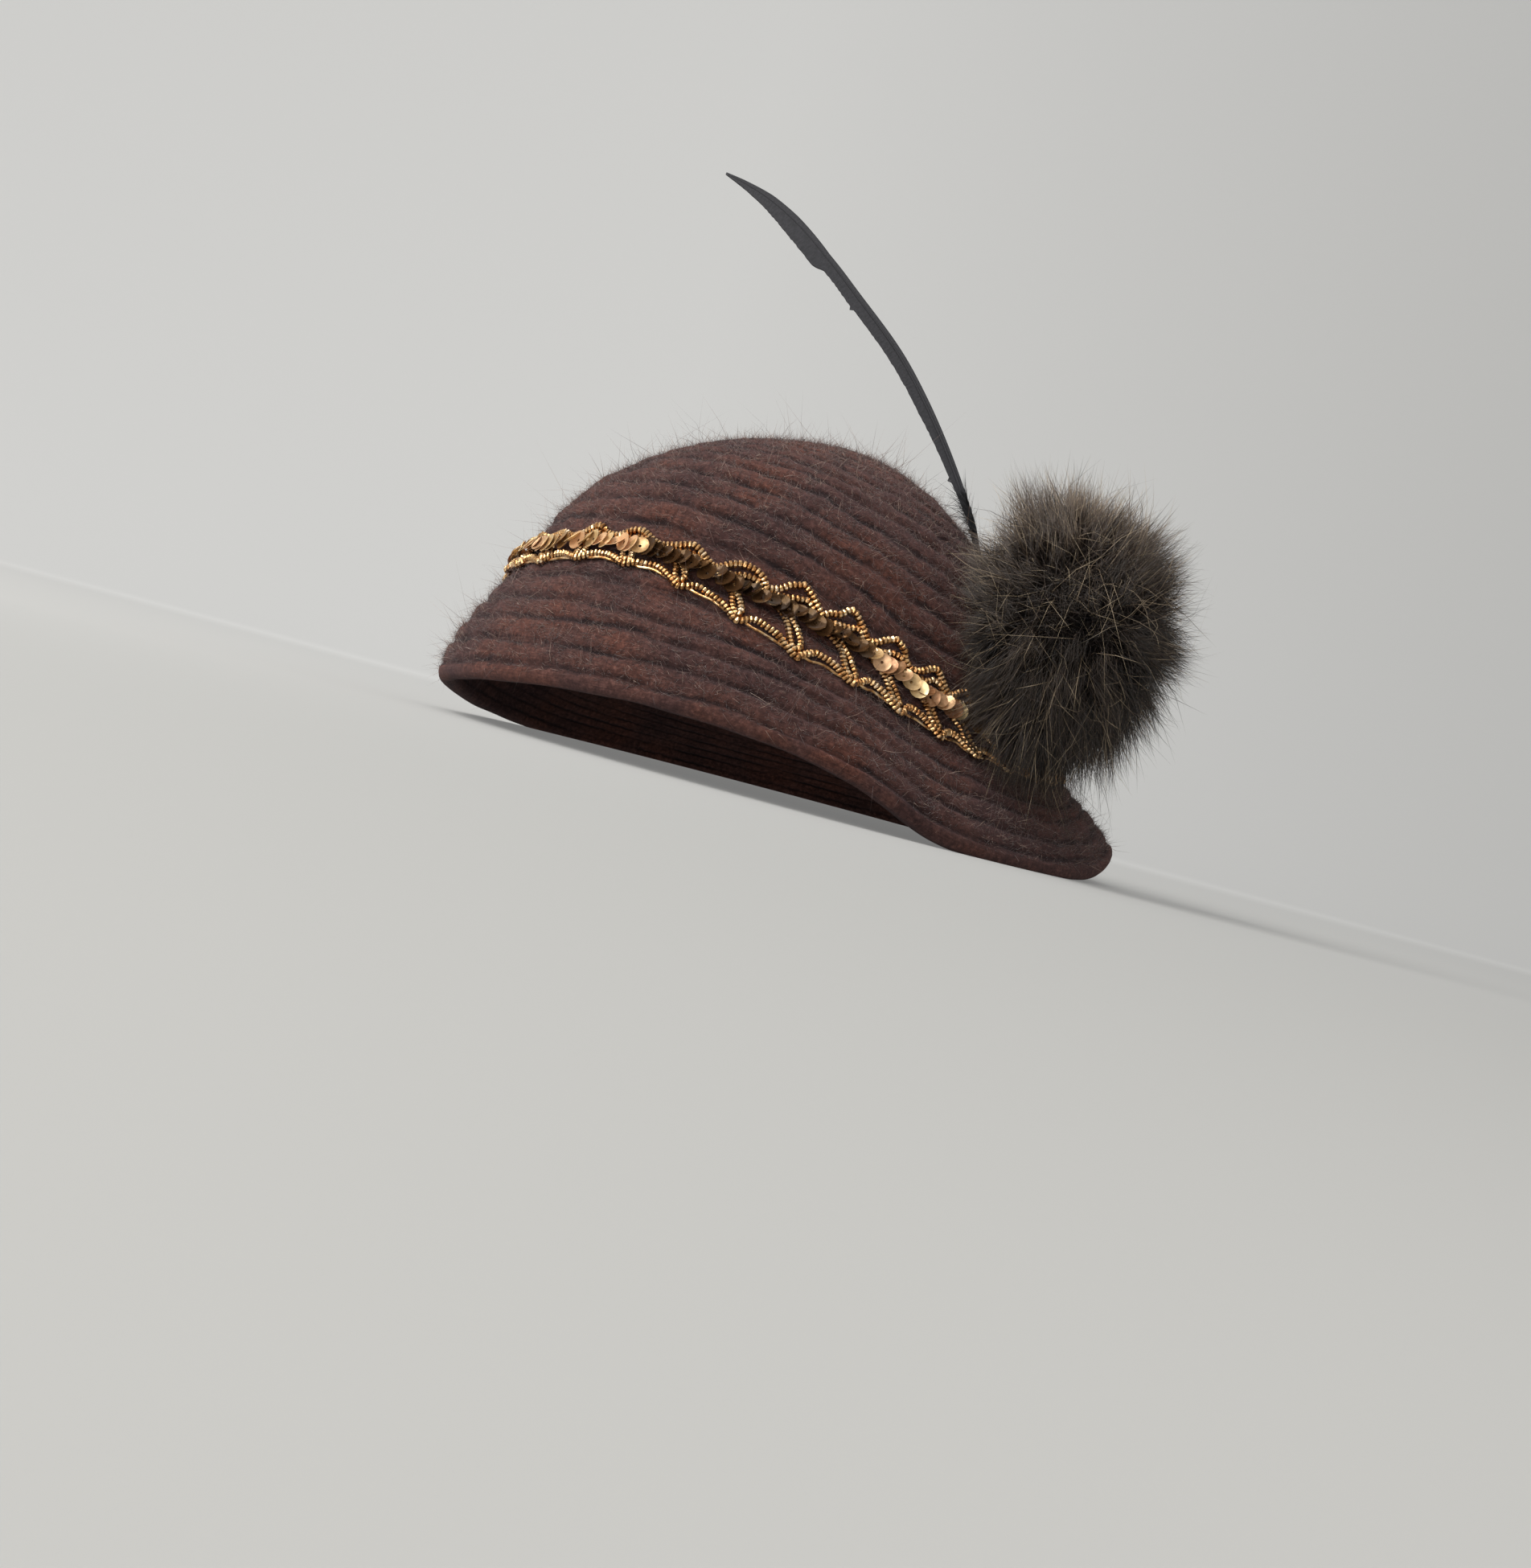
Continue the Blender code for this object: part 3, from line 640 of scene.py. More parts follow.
def make_nap(name):
    turn, share = shell_spots(NAP_EACH)
    root, out, start, groove = brushed(turn, share, np.radians(8 + 70 * draw.beta(1.1, 2.0, NAP_EACH)), 0.60)
    length = draw.uniform(0.0012, 0.0044, NAP_EACH) * (1 - 0.4 * groove**4)
    # Hairs rooted in the grooves get a darker shade: painted shade. Every nap hair is lighter towards its
    # tip: painted light caught by the fuzz.
    shades = np.clip(draw.normal(0.50, 0.25, NAP_EACH) - 0.40 * groove**4, 0, 1)
    radius = NAP_RADIUS * draw.uniform(0.7, 1.3, NAP_EACH)
    return hairs(name, 1, root, start, np.zeros_like(start), length, radius, shades, tip_shade=0.22)


def make_halo(name):
    turn, share = shell_spots(HALO_HAIRS)
    share[:LONG_HAIRS] = draw.uniform(-0.7, 0.6, LONG_HAIRS)
    lift = np.radians(15 + 72 * draw.beta(1.4, 1.3, HALO_HAIRS))
    root, out, start, groove = brushed(turn, share, lift, 0.35)
    at_edge = share < -0.93
    start[at_edge] = unit(start[at_edge] - np.array((0, 0, 0.8)) * draw.random((at_edge.sum(), 1)))
    bend = draw.normal(size=start.shape) * 0.80
    length = np.minimum(0.0020 + draw.gamma(1.3, 0.0015, HALO_HAIRS), 0.011)
    length[:LONG_HAIRS] = draw.uniform(0.013, 0.022, LONG_HAIRS)
    bend[:LONG_HAIRS] *= 0.25
    lift = (start * out).sum(1)[:LONG_HAIRS, None]
    start[:LONG_HAIRS] = unit(start[:LONG_HAIRS] - out[:LONG_HAIRS] * lift * 0.85)
    # Halo hairs get a lighter shade than the nap: painted light standing in for light shining through the
    # fine fibres. A few are paler at random, and the long ones are palest.
    shades = np.clip(draw.normal(0.70, 0.16, HALO_HAIRS) + 0.4 * (draw.random(HALO_HAIRS) > 0.95), 0, 1)
    shades[:LONG_HAIRS] = 1.0
    radius = HALO_RADIUS * draw.uniform(0.6, 1.2, HALO_HAIRS)
    return hairs(name, 2, root, start, bend, length, radius, shades)


for name, make in (("mohair_nap_1", make_nap), ("mohair_nap_2", make_nap), ("mohair_halo", make_halo)):
    nap_hair = add_object(name, make(name), mohair_hair)
    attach(nap_hair, "root")


# Gimp braid round the base of the crown: gold bullion cord, a fine metal strip wound round a cotton core,
# laid in two scalloped edge cords and one that loops from crest to trough between them. It is sewn to the
# ribs.
SEAT_CLEARANCE = 0.0006
BRAID_WIDTH = 0.0205
BRAID_SCALLOP = 0.0018
BULLION_RADIUS = 0.00120
BULLION_PITCH = 0.00150
BULLION_SIDES = 7
BULLION_SLANT = 0.16
ROUTE_STEPS = 6000
WINDING = (0.62, 0.97, 1.10, 0.97)
BRAID_COURSE = (
    # turn, shift, width, spread, millimetres that the sequins lie below the middle
    (5, -0.22, 0.78, 0.80, 1.5),
    (20, -0.10, 0.76, 0.80, 1.6),
    (36, -0.08, 0.78, 0.82, 1.6),
    (50, -0.16, 0.90, 0.95, 1.6),
    (62, -0.17, 1.00, 1.14, 0.6),
    (78, -0.07, 1.00, 1.12, 0.2),
    (96, -0.02, 1.00, 1.03, 0.2),
    (114, -0.12, 0.94, 1.00, 0.0),
    (190, -0.05, 0.88, 1.00, 0.0),
    (280, -0.05, 0.84, 0.92, 0.6),
)
BRAID_CRESTS = (7, 18, 29.5, 41.5, 53, 64, 74.5, 84, 93.75, 102.75)
BRAID_REPEATS = 35
# Routes of the cords in one repeat: place in it, place across the braid, and height over the seat in
# millimetres
UPPER_CORD = (
    (0.06, 0.80, 1.3), (0.20, 0.63, 1.2), (0.34, 0.52, 1.2), (0.50, 0.58, 1.2), (0.66, 0.76, 1.3),
    (0.80, 0.87, 1.4), (0.92, 0.89, 1.4),
)
LOWER_CORD = (
    (0.00, -1.16, 1.4), (0.11, -0.98, 1.3), (0.24, -0.86, 1.2), (0.42, -0.86, 1.2), (0.60, -0.96, 1.3),
    (0.76, -1.14, 1.4), (0.90, -1.25, 1.4),
)
LOOP_CORD = (
    (0.40, 0.22, 0.9), (0.50, 0.38, 1.0), (0.68, 0.48, 1.1), (0.88, 0.58, 1.2), (1.06, 0.60, 1.3),
    (1.20, 0.46, 1.0), (1.30, 0.26, 0.8), (1.42, 0.02, 0.8), (1.60, -0.15, 0.8), (1.73, -0.38, 1.0),
    (1.77, -0.76, 1.2), (1.85, -1.04, 1.5), (1.95, -1.02, 1.5), (1.93, -0.72, 1.2), (1.87, -0.36, 1.0),
    (1.70, -0.05, 0.8), (1.50, 0.08, 0.8),
)
PLATE_STRIP = (
    (0.02, -1.10, 0.6), (0.16, -1.14, 0.7), (0.30, -1.10, 0.8), (0.46, -1.08, 0.8), (0.62, -1.12, 0.6),
    (0.85, -1.14, 0.6),
)
PLATE_RADIUS = 0.00045


def closed_curve(knots, samples):
    """Points on a smooth closed curve through the knots."""
    count = len(knots)
    at = np.arange(samples) * count / samples
    i = at.astype(int)
    s = (at - i)[:, None]
    before, a, b, after = (knots[(i + k) % count] for k in (-1, 0, 1, 2))
    return cubic(a, b, (b - before) / 2, (after - a) / 2, s)


def braid_turn(repeats):
    """Turn at a place counted in repeats. The crests of the repeats were laid a little unevenly by hand."""
    hidden = BRAID_REPEATS + 2 - len(BRAID_CRESTS)
    crests = np.append(BRAID_CRESTS, np.linspace(BRAID_CRESTS[-1], BRAID_CRESTS[0] + 360, hidden)[1:])
    rounds, left = np.divmod(repeats, BRAID_REPEATS)
    return np.interp(left, np.arange(len(crests)), crests) + 360 * rounds


def cord_route(repeat):
    """The cord's knots in space, and the outward directions there, for the whole way round."""
    table = np.array(repeat, float)
    number = np.repeat(np.arange(BRAID_REPEATS), len(repeat))
    place, across, height = np.tile(table, (BRAID_REPEATS, 1)).T
    jitter = draw.normal(size=(3, len(place))) * np.array((0.016, 0.022, 0.06))[:, None]
    turn = braid_turn(number + place - 0.90 + jitter[0])
    width, spread = course(BRAID_COURSE, 2, turn), course(BRAID_COURSE, 3, turn)
    half = (BRAID_WIDTH / 2 - BULLION_RADIUS + BRAID_SCALLOP) * width * spread
    along = BRAID_WIDTH * course(BRAID_COURSE, 1, turn) + (across + jitter[1]) * half
    return shell_along(turn, along, RIB_RELIEF + SEAT_CLEARANCE + (height + jitter[2]) * 0.001)


def bullion(repeat, thickness, winding):
    """A closed tube of wound metal strip along a route, with a few rings for each turn of the strip."""
    knots, out = cord_route(repeat)
    rough = closed_curve(knots, ROUTE_STEPS)
    length = np.linalg.norm(np.roll(rough, -1, 0) - rough, axis=1)
    turns = int(length.sum() / BULLION_PITCH)
    rings = turns * len(winding)
    travelled = np.concatenate(([0], np.cumsum(length)))
    where = np.interp(np.arange(rings) * length.sum() / rings, travelled, np.arange(ROUTE_STEPS + 1))
    line, outward = (
        np.stack([np.interp(where, np.arange(ROUTE_STEPS), axis, period=ROUTE_STEPS) for axis in curve.T], 1)
        for curve in (rough, closed_curve(out, ROUTE_STEPS))
    )
    outward = unit(outward)
    run = unit(np.roll(line, -1, 0) - np.roll(line, 1, 0))
    side = unit(np.cross(run, outward))
    outward = np.cross(side, run)
    bm = bmesh.new()
    bmesh.ops.create_grid(bm, x_segments=rings, y_segments=BULLION_SIDES, size=0.5)
    at = np.array([vert.co[:2] for vert in bm.verts]) + 0.5
    i = np.rint(at[:, 0] * rings).astype(int) % rings
    j = np.rint(at[:, 1] * BULLION_SIDES).astype(int) % BULLION_SIDES
    angle = 2 * np.pi * j / BULLION_SIDES
    swell = np.array(winding)[i % len(winding)]
    dents = draw.uniform(0.93, 1.07, (rings, BULLION_SIDES))[i, j]
    slant = run[i] * (np.sin(angle) * BULLION_PITCH * BULLION_SLANT)[:, None]
    radius = (thickness * swell * dents)[:, None]
    cosine, sine = np.cos(angle)[:, None], np.sin(angle)[:, None]
    place = line[i] + radius * (side[i] * cosine + outward[i] * sine) + slant
    close_grid(bm, place, "winding", swell, 1e-7)
    return finished_mesh(bm, "bullion", smooth=False)


# Gilt bullion: a bright strip of gold-coloured metal, worn paler in some places and coppery in others, and
# darkened to dark brown between the windings with painted shade. It gives hard small glints, so it keeps its
# facets.
gilt, node, shader = new_material("gilt_bullion", Metallic=1.0, Roughness=0.26)
GILT_COLOURS = ((0.30, "#84532f"), (0.44, "#be8c58"), (0.55, "#e0b884"), (0.70, "#fde6c6"))
place = node("TexCoord", {}).outputs["Object"]
wear = node("TexNoise", {"Scale": 300.0, "Detail": 4.0, "Roughness": 0.7, "Vector": place})
worn = node("ValToRGB", {"color_ramp": GILT_COLOURS, "Fac": wear})
winding = node("Attribute", {"attribute_name": "winding"}).outputs["Fac"]
# Painted shade: the colour is darkened to dark brown between the windings.
crevice_shade = node(
    "MapRange", {"From Min": 0.66, "From Max": 0.97, "To Min": 0.95, "To Max": 0.0, "Value": winding},
)
gold = node("Mix", {"data_type": "RGBA", 7: linear("#30170b"), 0: crevice_shade, 6: worn})
tarnish = node("TexNoise", {"Scale": 900.0, "Vector": place})
strip_roughness = node("MapRange", {"To Min": 0.14, "To Max": 0.46, "Value": tarnish})
set_node(shader, {"Base Color": gold.outputs[2], "Roughness": strip_roughness})

for name, repeat, thickness, winding in (
    ("braid_upper_cord", UPPER_CORD, BULLION_RADIUS, WINDING),
    ("braid_lower_cord", LOWER_CORD, BULLION_RADIUS, WINDING),
    ("braid_loop_cord", LOOP_CORD, BULLION_RADIUS * 0.92, WINDING),
    ("braid_plate_strip", PLATE_STRIP, PLATE_RADIUS, (1.0,)),
):
    braid = add_object(name, bullion(repeat, thickness, winding), gilt)
    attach(braid, "root")
    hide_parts("trim_braid")


# Sequins: small cupped discs of plastic film with a hole in the middle, strung on a thread and lapped like
# tiles along the centre of the braid. Some stretches are coppery, some pale gold and some smoky brown and
# see-through.
SEQUIN_DIAMETER = 0.0067
SEQUIN_HOLE = 0.0011
SEQUIN_CUP = 0.0007
SEQUIN_FILM = 0.00012
SEQUIN_SPACING = 0.0031
SEQUIN_LIFT = 0.0029
THREAD_LIFT = 0.0030
SEQUIN_STRETCHES = (
    # from turn, lean, share of coppery ones, share of pale gold ones. The rest are smoky.
    (-20, 4, 0.45, 0.55),
    (10, 15, 0.50, 0.45),
    (27, 22, 0.55, 0.35),
    (31, -8, 0.00, 1.00),
    (33, 24, 0.20, 0.15),
    (40, 26, 0.00, 0.00),
    (79, 32, 0.45, 0.55),
    (100, 26, 0.30, 0.40),
    (135, 36, 0.50, 0.30),
    (215, 30, 0.30, 0.30),
    (290, 40, 0.70, 0.20),
)


def sequin_shape():
    """One cupped disc with a hole, a unit across, that faces along Z."""
    bm = bmesh.new()
    bmesh.ops.create_circle(bm, segments=16, radius=SEQUIN_HOLE / 2)
    rim = bm.edges[:]
    for radius, rise in ((0.56, 0.10), (1.0, 1.0)):
        grown = bmesh.ops.extrude_edge_only(bm, edges=rim)["geom"]
        verts = {part for part in grown if isinstance(part, bmesh.types.BMVert)}
        edges = [part for part in grown if isinstance(part, bmesh.types.BMEdge)]
        rim = [edge for edge in edges if verts.issuperset(edge.verts)]
        for vert in verts:
            flat = vert.co.xy.normalized() * SEQUIN_DIAMETER / 2 * radius
            vert.co = (flat.x, flat.y, SEQUIN_CUP * rise)
    bmesh.ops.recalc_face_normals(bm, faces=bm.faces)
    bmesh.ops.solidify(bm, geom=bm.faces[:], thickness=SEQUIN_FILM)
    bmesh.ops.recalc_face_normals(bm, faces=bm.faces)
    return shape_arrays(bm)


def make_sequins():
    points, faces = sequin_shape()
    turn = np.linspace(0, 360, 3601)[:-1]
    middle = shell_along(turn, BRAID_WIDTH * course(BRAID_COURSE, 1, turn), RIB_RELIEF + THREAD_LIFT)[0]
    travelled = np.cumsum(np.linalg.norm(np.roll(middle, -1, 0) - middle, axis=1))
    count = int(travelled[-1] / SEQUIN_SPACING)
    turn = np.interp((np.arange(count) + 0.5) * travelled[-1] / count, travelled, turn)
    along = BRAID_WIDTH * course(BRAID_COURSE, 1, turn) - course(BRAID_COURSE, 4, turn) * 0.001
    along += draw.normal(size=count) * 0.0005
    place, out = shell_along(turn, along, RIB_RELIEF + SEAT_CLEARANCE + SEQUIN_LIFT)
    ahead = unit(shell_along(turn + 0.5, along)[0] - shell_along(turn - 0.5, along)[0])
    aside = unit(np.cross(out, ahead))
    wrapped = np.where(turn > 340, turn - 360, turn)
    stretch = np.searchsorted([row[0] for row in SEQUIN_STRETCHES], wrapped, side="right") - 1
    rows = np.array(SEQUIN_STRETCHES)[stretch]
    lean = np.radians(rows[:, 1] + draw.normal(size=count) * 9)
    rock = np.radians(draw.normal(size=count) * 13)
    facing = out * np.cos(lean)[:, None] - ahead * np.sin(lean)[:, None]
    facing = unit(facing + aside * np.sin(rock)[:, None])
    face_side = unit(np.cross(facing, ahead))
    face_ahead = np.cross(face_side, facing)
    size = draw.uniform(0.92, 1.05, count)[:, None, None]
    places = place[:, None] + size * turned_copies(points, face_ahead, face_side, facing)
    mesh = repeat_shape("sequins", faces, places)
    pick = draw.random(count)
    kind = (pick > rows[:, 2]).astype(int) + (pick > rows[:, 2] + rows[:, 3]).astype(int)
    mesh.polygons.foreach_set("material_index", np.repeat(kind, len(faces)).astype(np.int32))
    float_attribute(mesh, "shade", np.repeat(draw.random(count), len(points)))
    mesh.set_sharp_from_angle(angle=math.radians(50))
    return mesh


# Sequin film: PET foil. The coppery and pale ones have metal behind the film, worn through in specks, and
# the smoky ones are clear brown film, so the glints of the cord show through them.
def foil(name, dark, bright, **settings):
    material, node, shader = new_material(name, **settings)
    shade = node("Attribute", {"attribute_name": "shade"}).outputs["Fac"]
    place = node("TexCoord", {}).outputs["Object"]
    specks = node("TexNoise", {"Scale": 1100.0, "Detail": 3.0, "Vector": place})
    mixed = node("Mix", {0: 0.35, 2: shade, 3: specks})
    colour = node("ValToRGB", {"color_ramp": ((0.25, dark), (0.70, bright)), "Fac": mixed})
    set_node(shader, {"Base Color": colour})
    return material


copper_foil = foil("copper_foil", "#80522f", "#e0b68a", Metallic=0.45, Roughness=0.34)
pale_foil = foil("pale_gold_foil", "#8f6639", "#e6c893", Metallic=0.5, Roughness=0.34)
smoky_film = foil(
    "smoky_film", "#20140c", "#503722", Roughness=0.16, Transmission_Weight=0.45, IOR=1.5,
    Specular_Tint=linear("#c49a68"),
)
sequins = add_object("sequins", make_sequins(), copper_foil, pale_foil, smoky_film)
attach(sequins, "root")
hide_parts("sequin_row")


# Feather: a long black quill, trimmed close to its shaft and left broader near the tip, tucked in behind
# the pompom. The vanes are thin and stiff, with a step where the trimming stops and two small spurs of
# barbs that it missed.
FEATHER_RISE = 0.1034
FEATHER_SWEEP = 0.117
FEATHER_WIDTH = 0.0068
FEATHER_SHAFT = 0.0016
FEATHER_SEAT_TURN = 116
FEATHER_SEAT_RIB = 7
FEATHER_LEAN_TURN = 332
VANE_THICKNESS = 0.0004
FEATHER_LINE = (
    # rise, sweep, width on the back side, width on the front side
    (0.000, 0.000, 0.30, 0.30),
    (0.085, 0.036, 0.32, 0.34),
    (0.160, 0.080, 0.38, 0.40),
    (0.236, 0.126, 0.40, 0.62),
    (0.429, 0.259, 0.45, 0.95),
    (0.550, 0.358, 0.46, 1.02),
    (0.723, 0.544, 0.44, 1.02),
    (0.800, 0.632, 0.44, 1.00),
    (0.818, 0.655, 0.46, 1.50),
    (0.836, 0.676, 0.48, 1.62),
    (0.908, 0.774, 0.56, 1.40),
    (0.952, 0.854, 0.50, 0.95),
    (0.985, 0.945, 0.26, 0.40),
    (1.000, 1.000, 0.08, 0.08),
)
SPURS = ((0.60, 0.0010), (0.17, 0.0012))
SPUR_REACH = 0.006
RAGGED = 0.02
VANE_CUP = 0.10
SHAFT_TAPER = 0.85
FEATHER_STEPS = 170
VANE_COLUMNS = 12
SHAFT_RINGS = 60

lean = math.radians(FEATHER_LEAN_TURN)
forward = np.array((math.sin(lean), -math.cos(lean), 0))
seat = (FEATHER_SEAT_RIB + 0.5) / CROWN_RIBS
quill_foot = shell(FEATHER_SEAT_TURN, seat, RIB_RELIEF + SEAT_CLEARANCE + FEATHER_SHAFT / 2)[0]
quill_facing = np.cross((0, 0, 1.0), forward)


def make_feather():
    rows = np.array(FEATHER_LINE)
    knots = quill_foot + rows[:, :1] * (0, 0, FEATHER_RISE) + rows[:, 1:2] * FEATHER_SWEEP * forward
    length = np.concatenate(([0], np.cumsum(np.linalg.norm(np.diff(knots, axis=0), axis=1))))
    length /= length[-1]
    at = np.linspace(0, 1, FEATHER_STEPS + 1)
    slope = np.gradient(knots, length, axis=0)
    i = np.clip(np.searchsorted(length, at, side="right") - 1, 0, len(length) - 2)
    span = (length[i + 1] - length[i])[:, None]
    s = (at - length[i])[:, None] / span
    line = cubic(knots[i], knots[i + 1], slope[i] * span, slope[i + 1] * span, s)
    run = unit(np.gradient(line, axis=0))
    across = unit(np.cross(quill_facing, run))
    half = FEATHER_WIDTH / 2
    ragged = RAGGED * np.random.default_rng(2).normal(size=FEATHER_STEPS + 1)
    back_side = np.interp(at, length, rows[:, 2]) * half
    front_side = np.interp(at, length, rows[:, 3]) * half * (1 + ragged)
    for where, size in SPURS:
        front_side += size * np.clip(1 - np.abs(at - where) / SPUR_REACH, 0, 1)
    bm = bmesh.new()
    uv = bm.loops.layers.uv.new("barbs")
    bmesh.ops.create_grid(bm, x_segments=VANE_COLUMNS, y_segments=FEATHER_STEPS, size=0.5, calc_uvs=True)
    for vert in bm.verts:
        u, v = (vert.co.x + 0.5) * 2 - 1, round((vert.co.y + 0.5) * FEATHER_STEPS)
        reach = u * back_side[v] if u < 0 else u * front_side[v]
        vert.co = line[v] + across[v] * reach + quill_facing * VANE_CUP * abs(reach)
    bmesh.ops.solidify(bm, geom=bm.faces[:], thickness=VANE_THICKNESS)
    shaft = bmesh.ops.create_cone(bm, cap_ends=True, segments=8, radius1=1, radius2=1, depth=1)["verts"]
    for step in range(1, SHAFT_RINGS):
        parts = list({part for vert in shaft for part in (vert, *vert.link_edges, *vert.link_faces)})
        middle = (0, 0, step / SHAFT_RINGS - 0.5)
        cut = bmesh.ops.bisect_plane(bm, geom=parts, plane_co=middle, plane_no=(0, 0, 1))
        shaft += [part for part in cut["geom_cut"] if isinstance(part, bmesh.types.BMVert)]
    for vert in set(shaft):
        place = (vert.co.z + 0.5) * FEATHER_STEPS
        v = min(int(place), FEATHER_STEPS - 1)
        point = line[v] + (line[v + 1] - line[v]) * (place - v)
        radius = FEATHER_SHAFT / 2 * (1 - SHAFT_TAPER * place / FEATHER_STEPS)
        vert.co = point + across[v] * vert.co.x * radius + quill_facing * vert.co.y * radius
    bmesh.ops.recalc_face_normals(bm, faces=bm.faces)
    return finished_mesh(bm, "feather")


# Dyed black quill: satin horn shaft, with barbs in fine slanting lines that give the vanes a dull grey
# bloom.
QUILL_COLOURS = ((0.35, "#19191c"), (0.6, "#29282c"))
quill, node, shader = new_material("dyed_quill", Roughness=0.55, Specular_IOR_Level=0.35, Sheen_Weight=0.08)
barb_uv = node("UVMap", {"uv_map": "barbs"})
slanted = node("Mapping", {"Rotation": (0, 0, 0.02), "Scale": (0.6, 26.0, 1.0), "Vector": barb_uv})
barbs = node("TexNoise", {"Scale": 9.0, "Detail": 5.0, "Roughness": 0.6, "Vector": slanted})
set_node(shader, {
    "Base Color": node("ValToRGB", {"color_ramp": QUILL_COLOURS, "Fac": barbs}),
    "Normal": node("Bump", {"Strength": 0.4, "Distance": 0.0002, "Height": barbs}),
})

feather = add_object("trimmed_quill", make_feather(), quill)
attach(feather, "root")
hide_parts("feather")


# Down at the foot of the quill: short soft barbs that were left on when the vanes were trimmed. They stick
# out towards the front as a dark tuft between the crown and the pompom.
DOWN_BARBS = 420
DOWN_LENGTH = (0.003, 0.0095)
DOWN_RISE = 0.017
DOWN_RADIUS = 0.00009

down = new_material("black_down", Base_Color=linear("#2b2b2d"), Roughness=0.7, Specular_IOR_Level=0.2)[0]
climb = 0.2 + 0.8 * draw.random((DOWN_BARBS, 1))
root = quill_foot + climb * DOWN_RISE * np.array((0, 0, 1)) + climb**1.3 * DOWN_RISE * 0.5 * forward
start = unit(forward + np.array((0, 0, 0.7)) + 0.35 * quill_facing + draw.normal(size=root.shape) * 0.25)
barb_mesh = hairs(
    "quill_down", 2, root, start, draw.normal(size=root.shape) * 0.3, draw.uniform(*DOWN_LENGTH, DOWN_BARBS),
    DOWN_RADIUS * draw.uniform(0.7, 1.3, DOWN_BARBS), np.full(DOWN_BARBS, 0.5),
)
quill_down = add_object("quill_down", barb_mesh, down)
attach(quill_down, "root")


# Pompom: strips of dark brown fur wound and sewn into a ball, then stitched against the back left of the
# crown. Long soft hair stands out all round, falls a little at the bottom and is pressed flat where it
# meets the hat.
POMPOM_WIDTH = 0.084
POMPOM_DEPTH = 0.078
POMPOM_HEIGHT = 0.098
POMPOM_TURN = 117
POMPOM_ALONG = 0.032
POMPOM_PRESS = 0.016
CORE_SHARE = 0.66
LOCKS = 300
FUR_EACH = 12000
LOOSE_HAIRS = 4600
FUR_RADIUS = 0.000085
LOOSE_RADIUS = 0.00010
FUR_OVER_BRAID = 0.0056
BRAID_TOP = 0.060
QUILL_PARTING = 0.0045
QUILL_FOOT_RISE, QUILL_FOOT_SWEEP = 0.0165, 0.0094
PARTED_STRETCH = (-0.001, 0.022)
PARTED_BEHIND = -0.004
CORE_GAP = 0.0036
ROOT_GAP = 0.0030
TIP_GAP = 0.0020
POMPOM_SHAPE = (
    # a way out of the centre (aside, out, up), how wide in radians, and how much longer the fur is there
    (-0.45, -0.50, 0.75, 0.30, 0.14),
    (0.10, 0.15, 1.00, 0.45, -0.10),
    (-0.45, -0.20, -1.00, 0.42, 0.30),
    (0.26, 0.38, -0.89, 0.50, -0.13),
    (-0.57, -0.82, 0.10, 0.60, -0.10),
)

pompom_centre, outward = shell_along(POMPOM_TURN, POMPOM_ALONG, RIB_RELIEF + POMPOM_DEPTH / 2 - POMPOM_PRESS)
level_out = unit(outward * (1, 1, 0))
pompom_aside = np.cross((0, 0, 1.0), level_out)
POMPOM_AXES = np.stack((
    pompom_aside * POMPOM_WIDTH / 2, level_out * POMPOM_DEPTH / 2, (0, 0, POMPOM_HEIGHT / 2),
))

turns, shares = np.meshgrid(np.arange(0, 360, 3.0), np.linspace(-1, 0.99, 60), indexing="ij")
crest = shell(turns, shares, RIB_RELIEF)[0].reshape(-1, 3)
here = np.arange(len(crest)).reshape(turns.shape)
after = np.roll(here, -1, 0)
quads = np.stack((here[:, :-1], after[:, :-1], after[:, 1:], here[:, 1:]), -1).reshape(-1, 4).tolist()
crest_tree = BVHTree.FromPolygons([Vector(p) for p in crest], quads)


def clear_of_hat(points, gap, braid_gap):
    """Moves points that lie in the hat, or closer to it than the gap, straight out to the gap."""
    moved = points.copy()
    for i, point in enumerate(points):
        near, normal, _, _ = crest_tree.find_nearest(Vector(point))
        needed = gap if near.z > BRAID_TOP else braid_gap
        if (Vector(point) - near).dot(normal) < needed:
            moved[i] = near + normal * needed
    return moved


def part_fur(points):
    """Draws points that would hang before the foot of the quill towards the middle of the pompom."""
    along = unit(QUILL_FOOT_RISE * np.array((0, 0, 1)) + QUILL_FOOT_SWEEP * forward)
    gap = points - quill_foot
    before = gap @ quill_facing
    gap = gap - before[:, None] * quill_facing
    climb = np.clip(gap @ along, *PARTED_STRETCH)
    away = np.linalg.norm(gap - climb[:, None] * along, axis=1)
    move = np.where(before > PARTED_BEHIND, np.maximum(QUILL_PARTING - away, 0) * 1.6, 0)
    return points + unit(pompom_centre - points) * move[:, None]


def make_core():
    """Dense underfur: a lumpy ball, pressed in where it lies against the crown."""
    bm = bmesh.new()
    bmesh.ops.create_icosphere(bm, subdivisions=5, radius=1)
    points = np.array([vert.co[:] for vert in bm.verts])
    lumps = np.array([noise.fractal(Vector(p) * 3.2, 0.9, 2.2, 4) for p in points])
    points = pompom_centre + (points * (CORE_SHARE + 0.05 * lumps)[:, None]) @ POMPOM_AXES
    for vert, point in zip(bm.verts, clear_of_hat(points, CORE_GAP, CORE_GAP)):
        vert.co = point
    return finished_mesh(bm, "core")


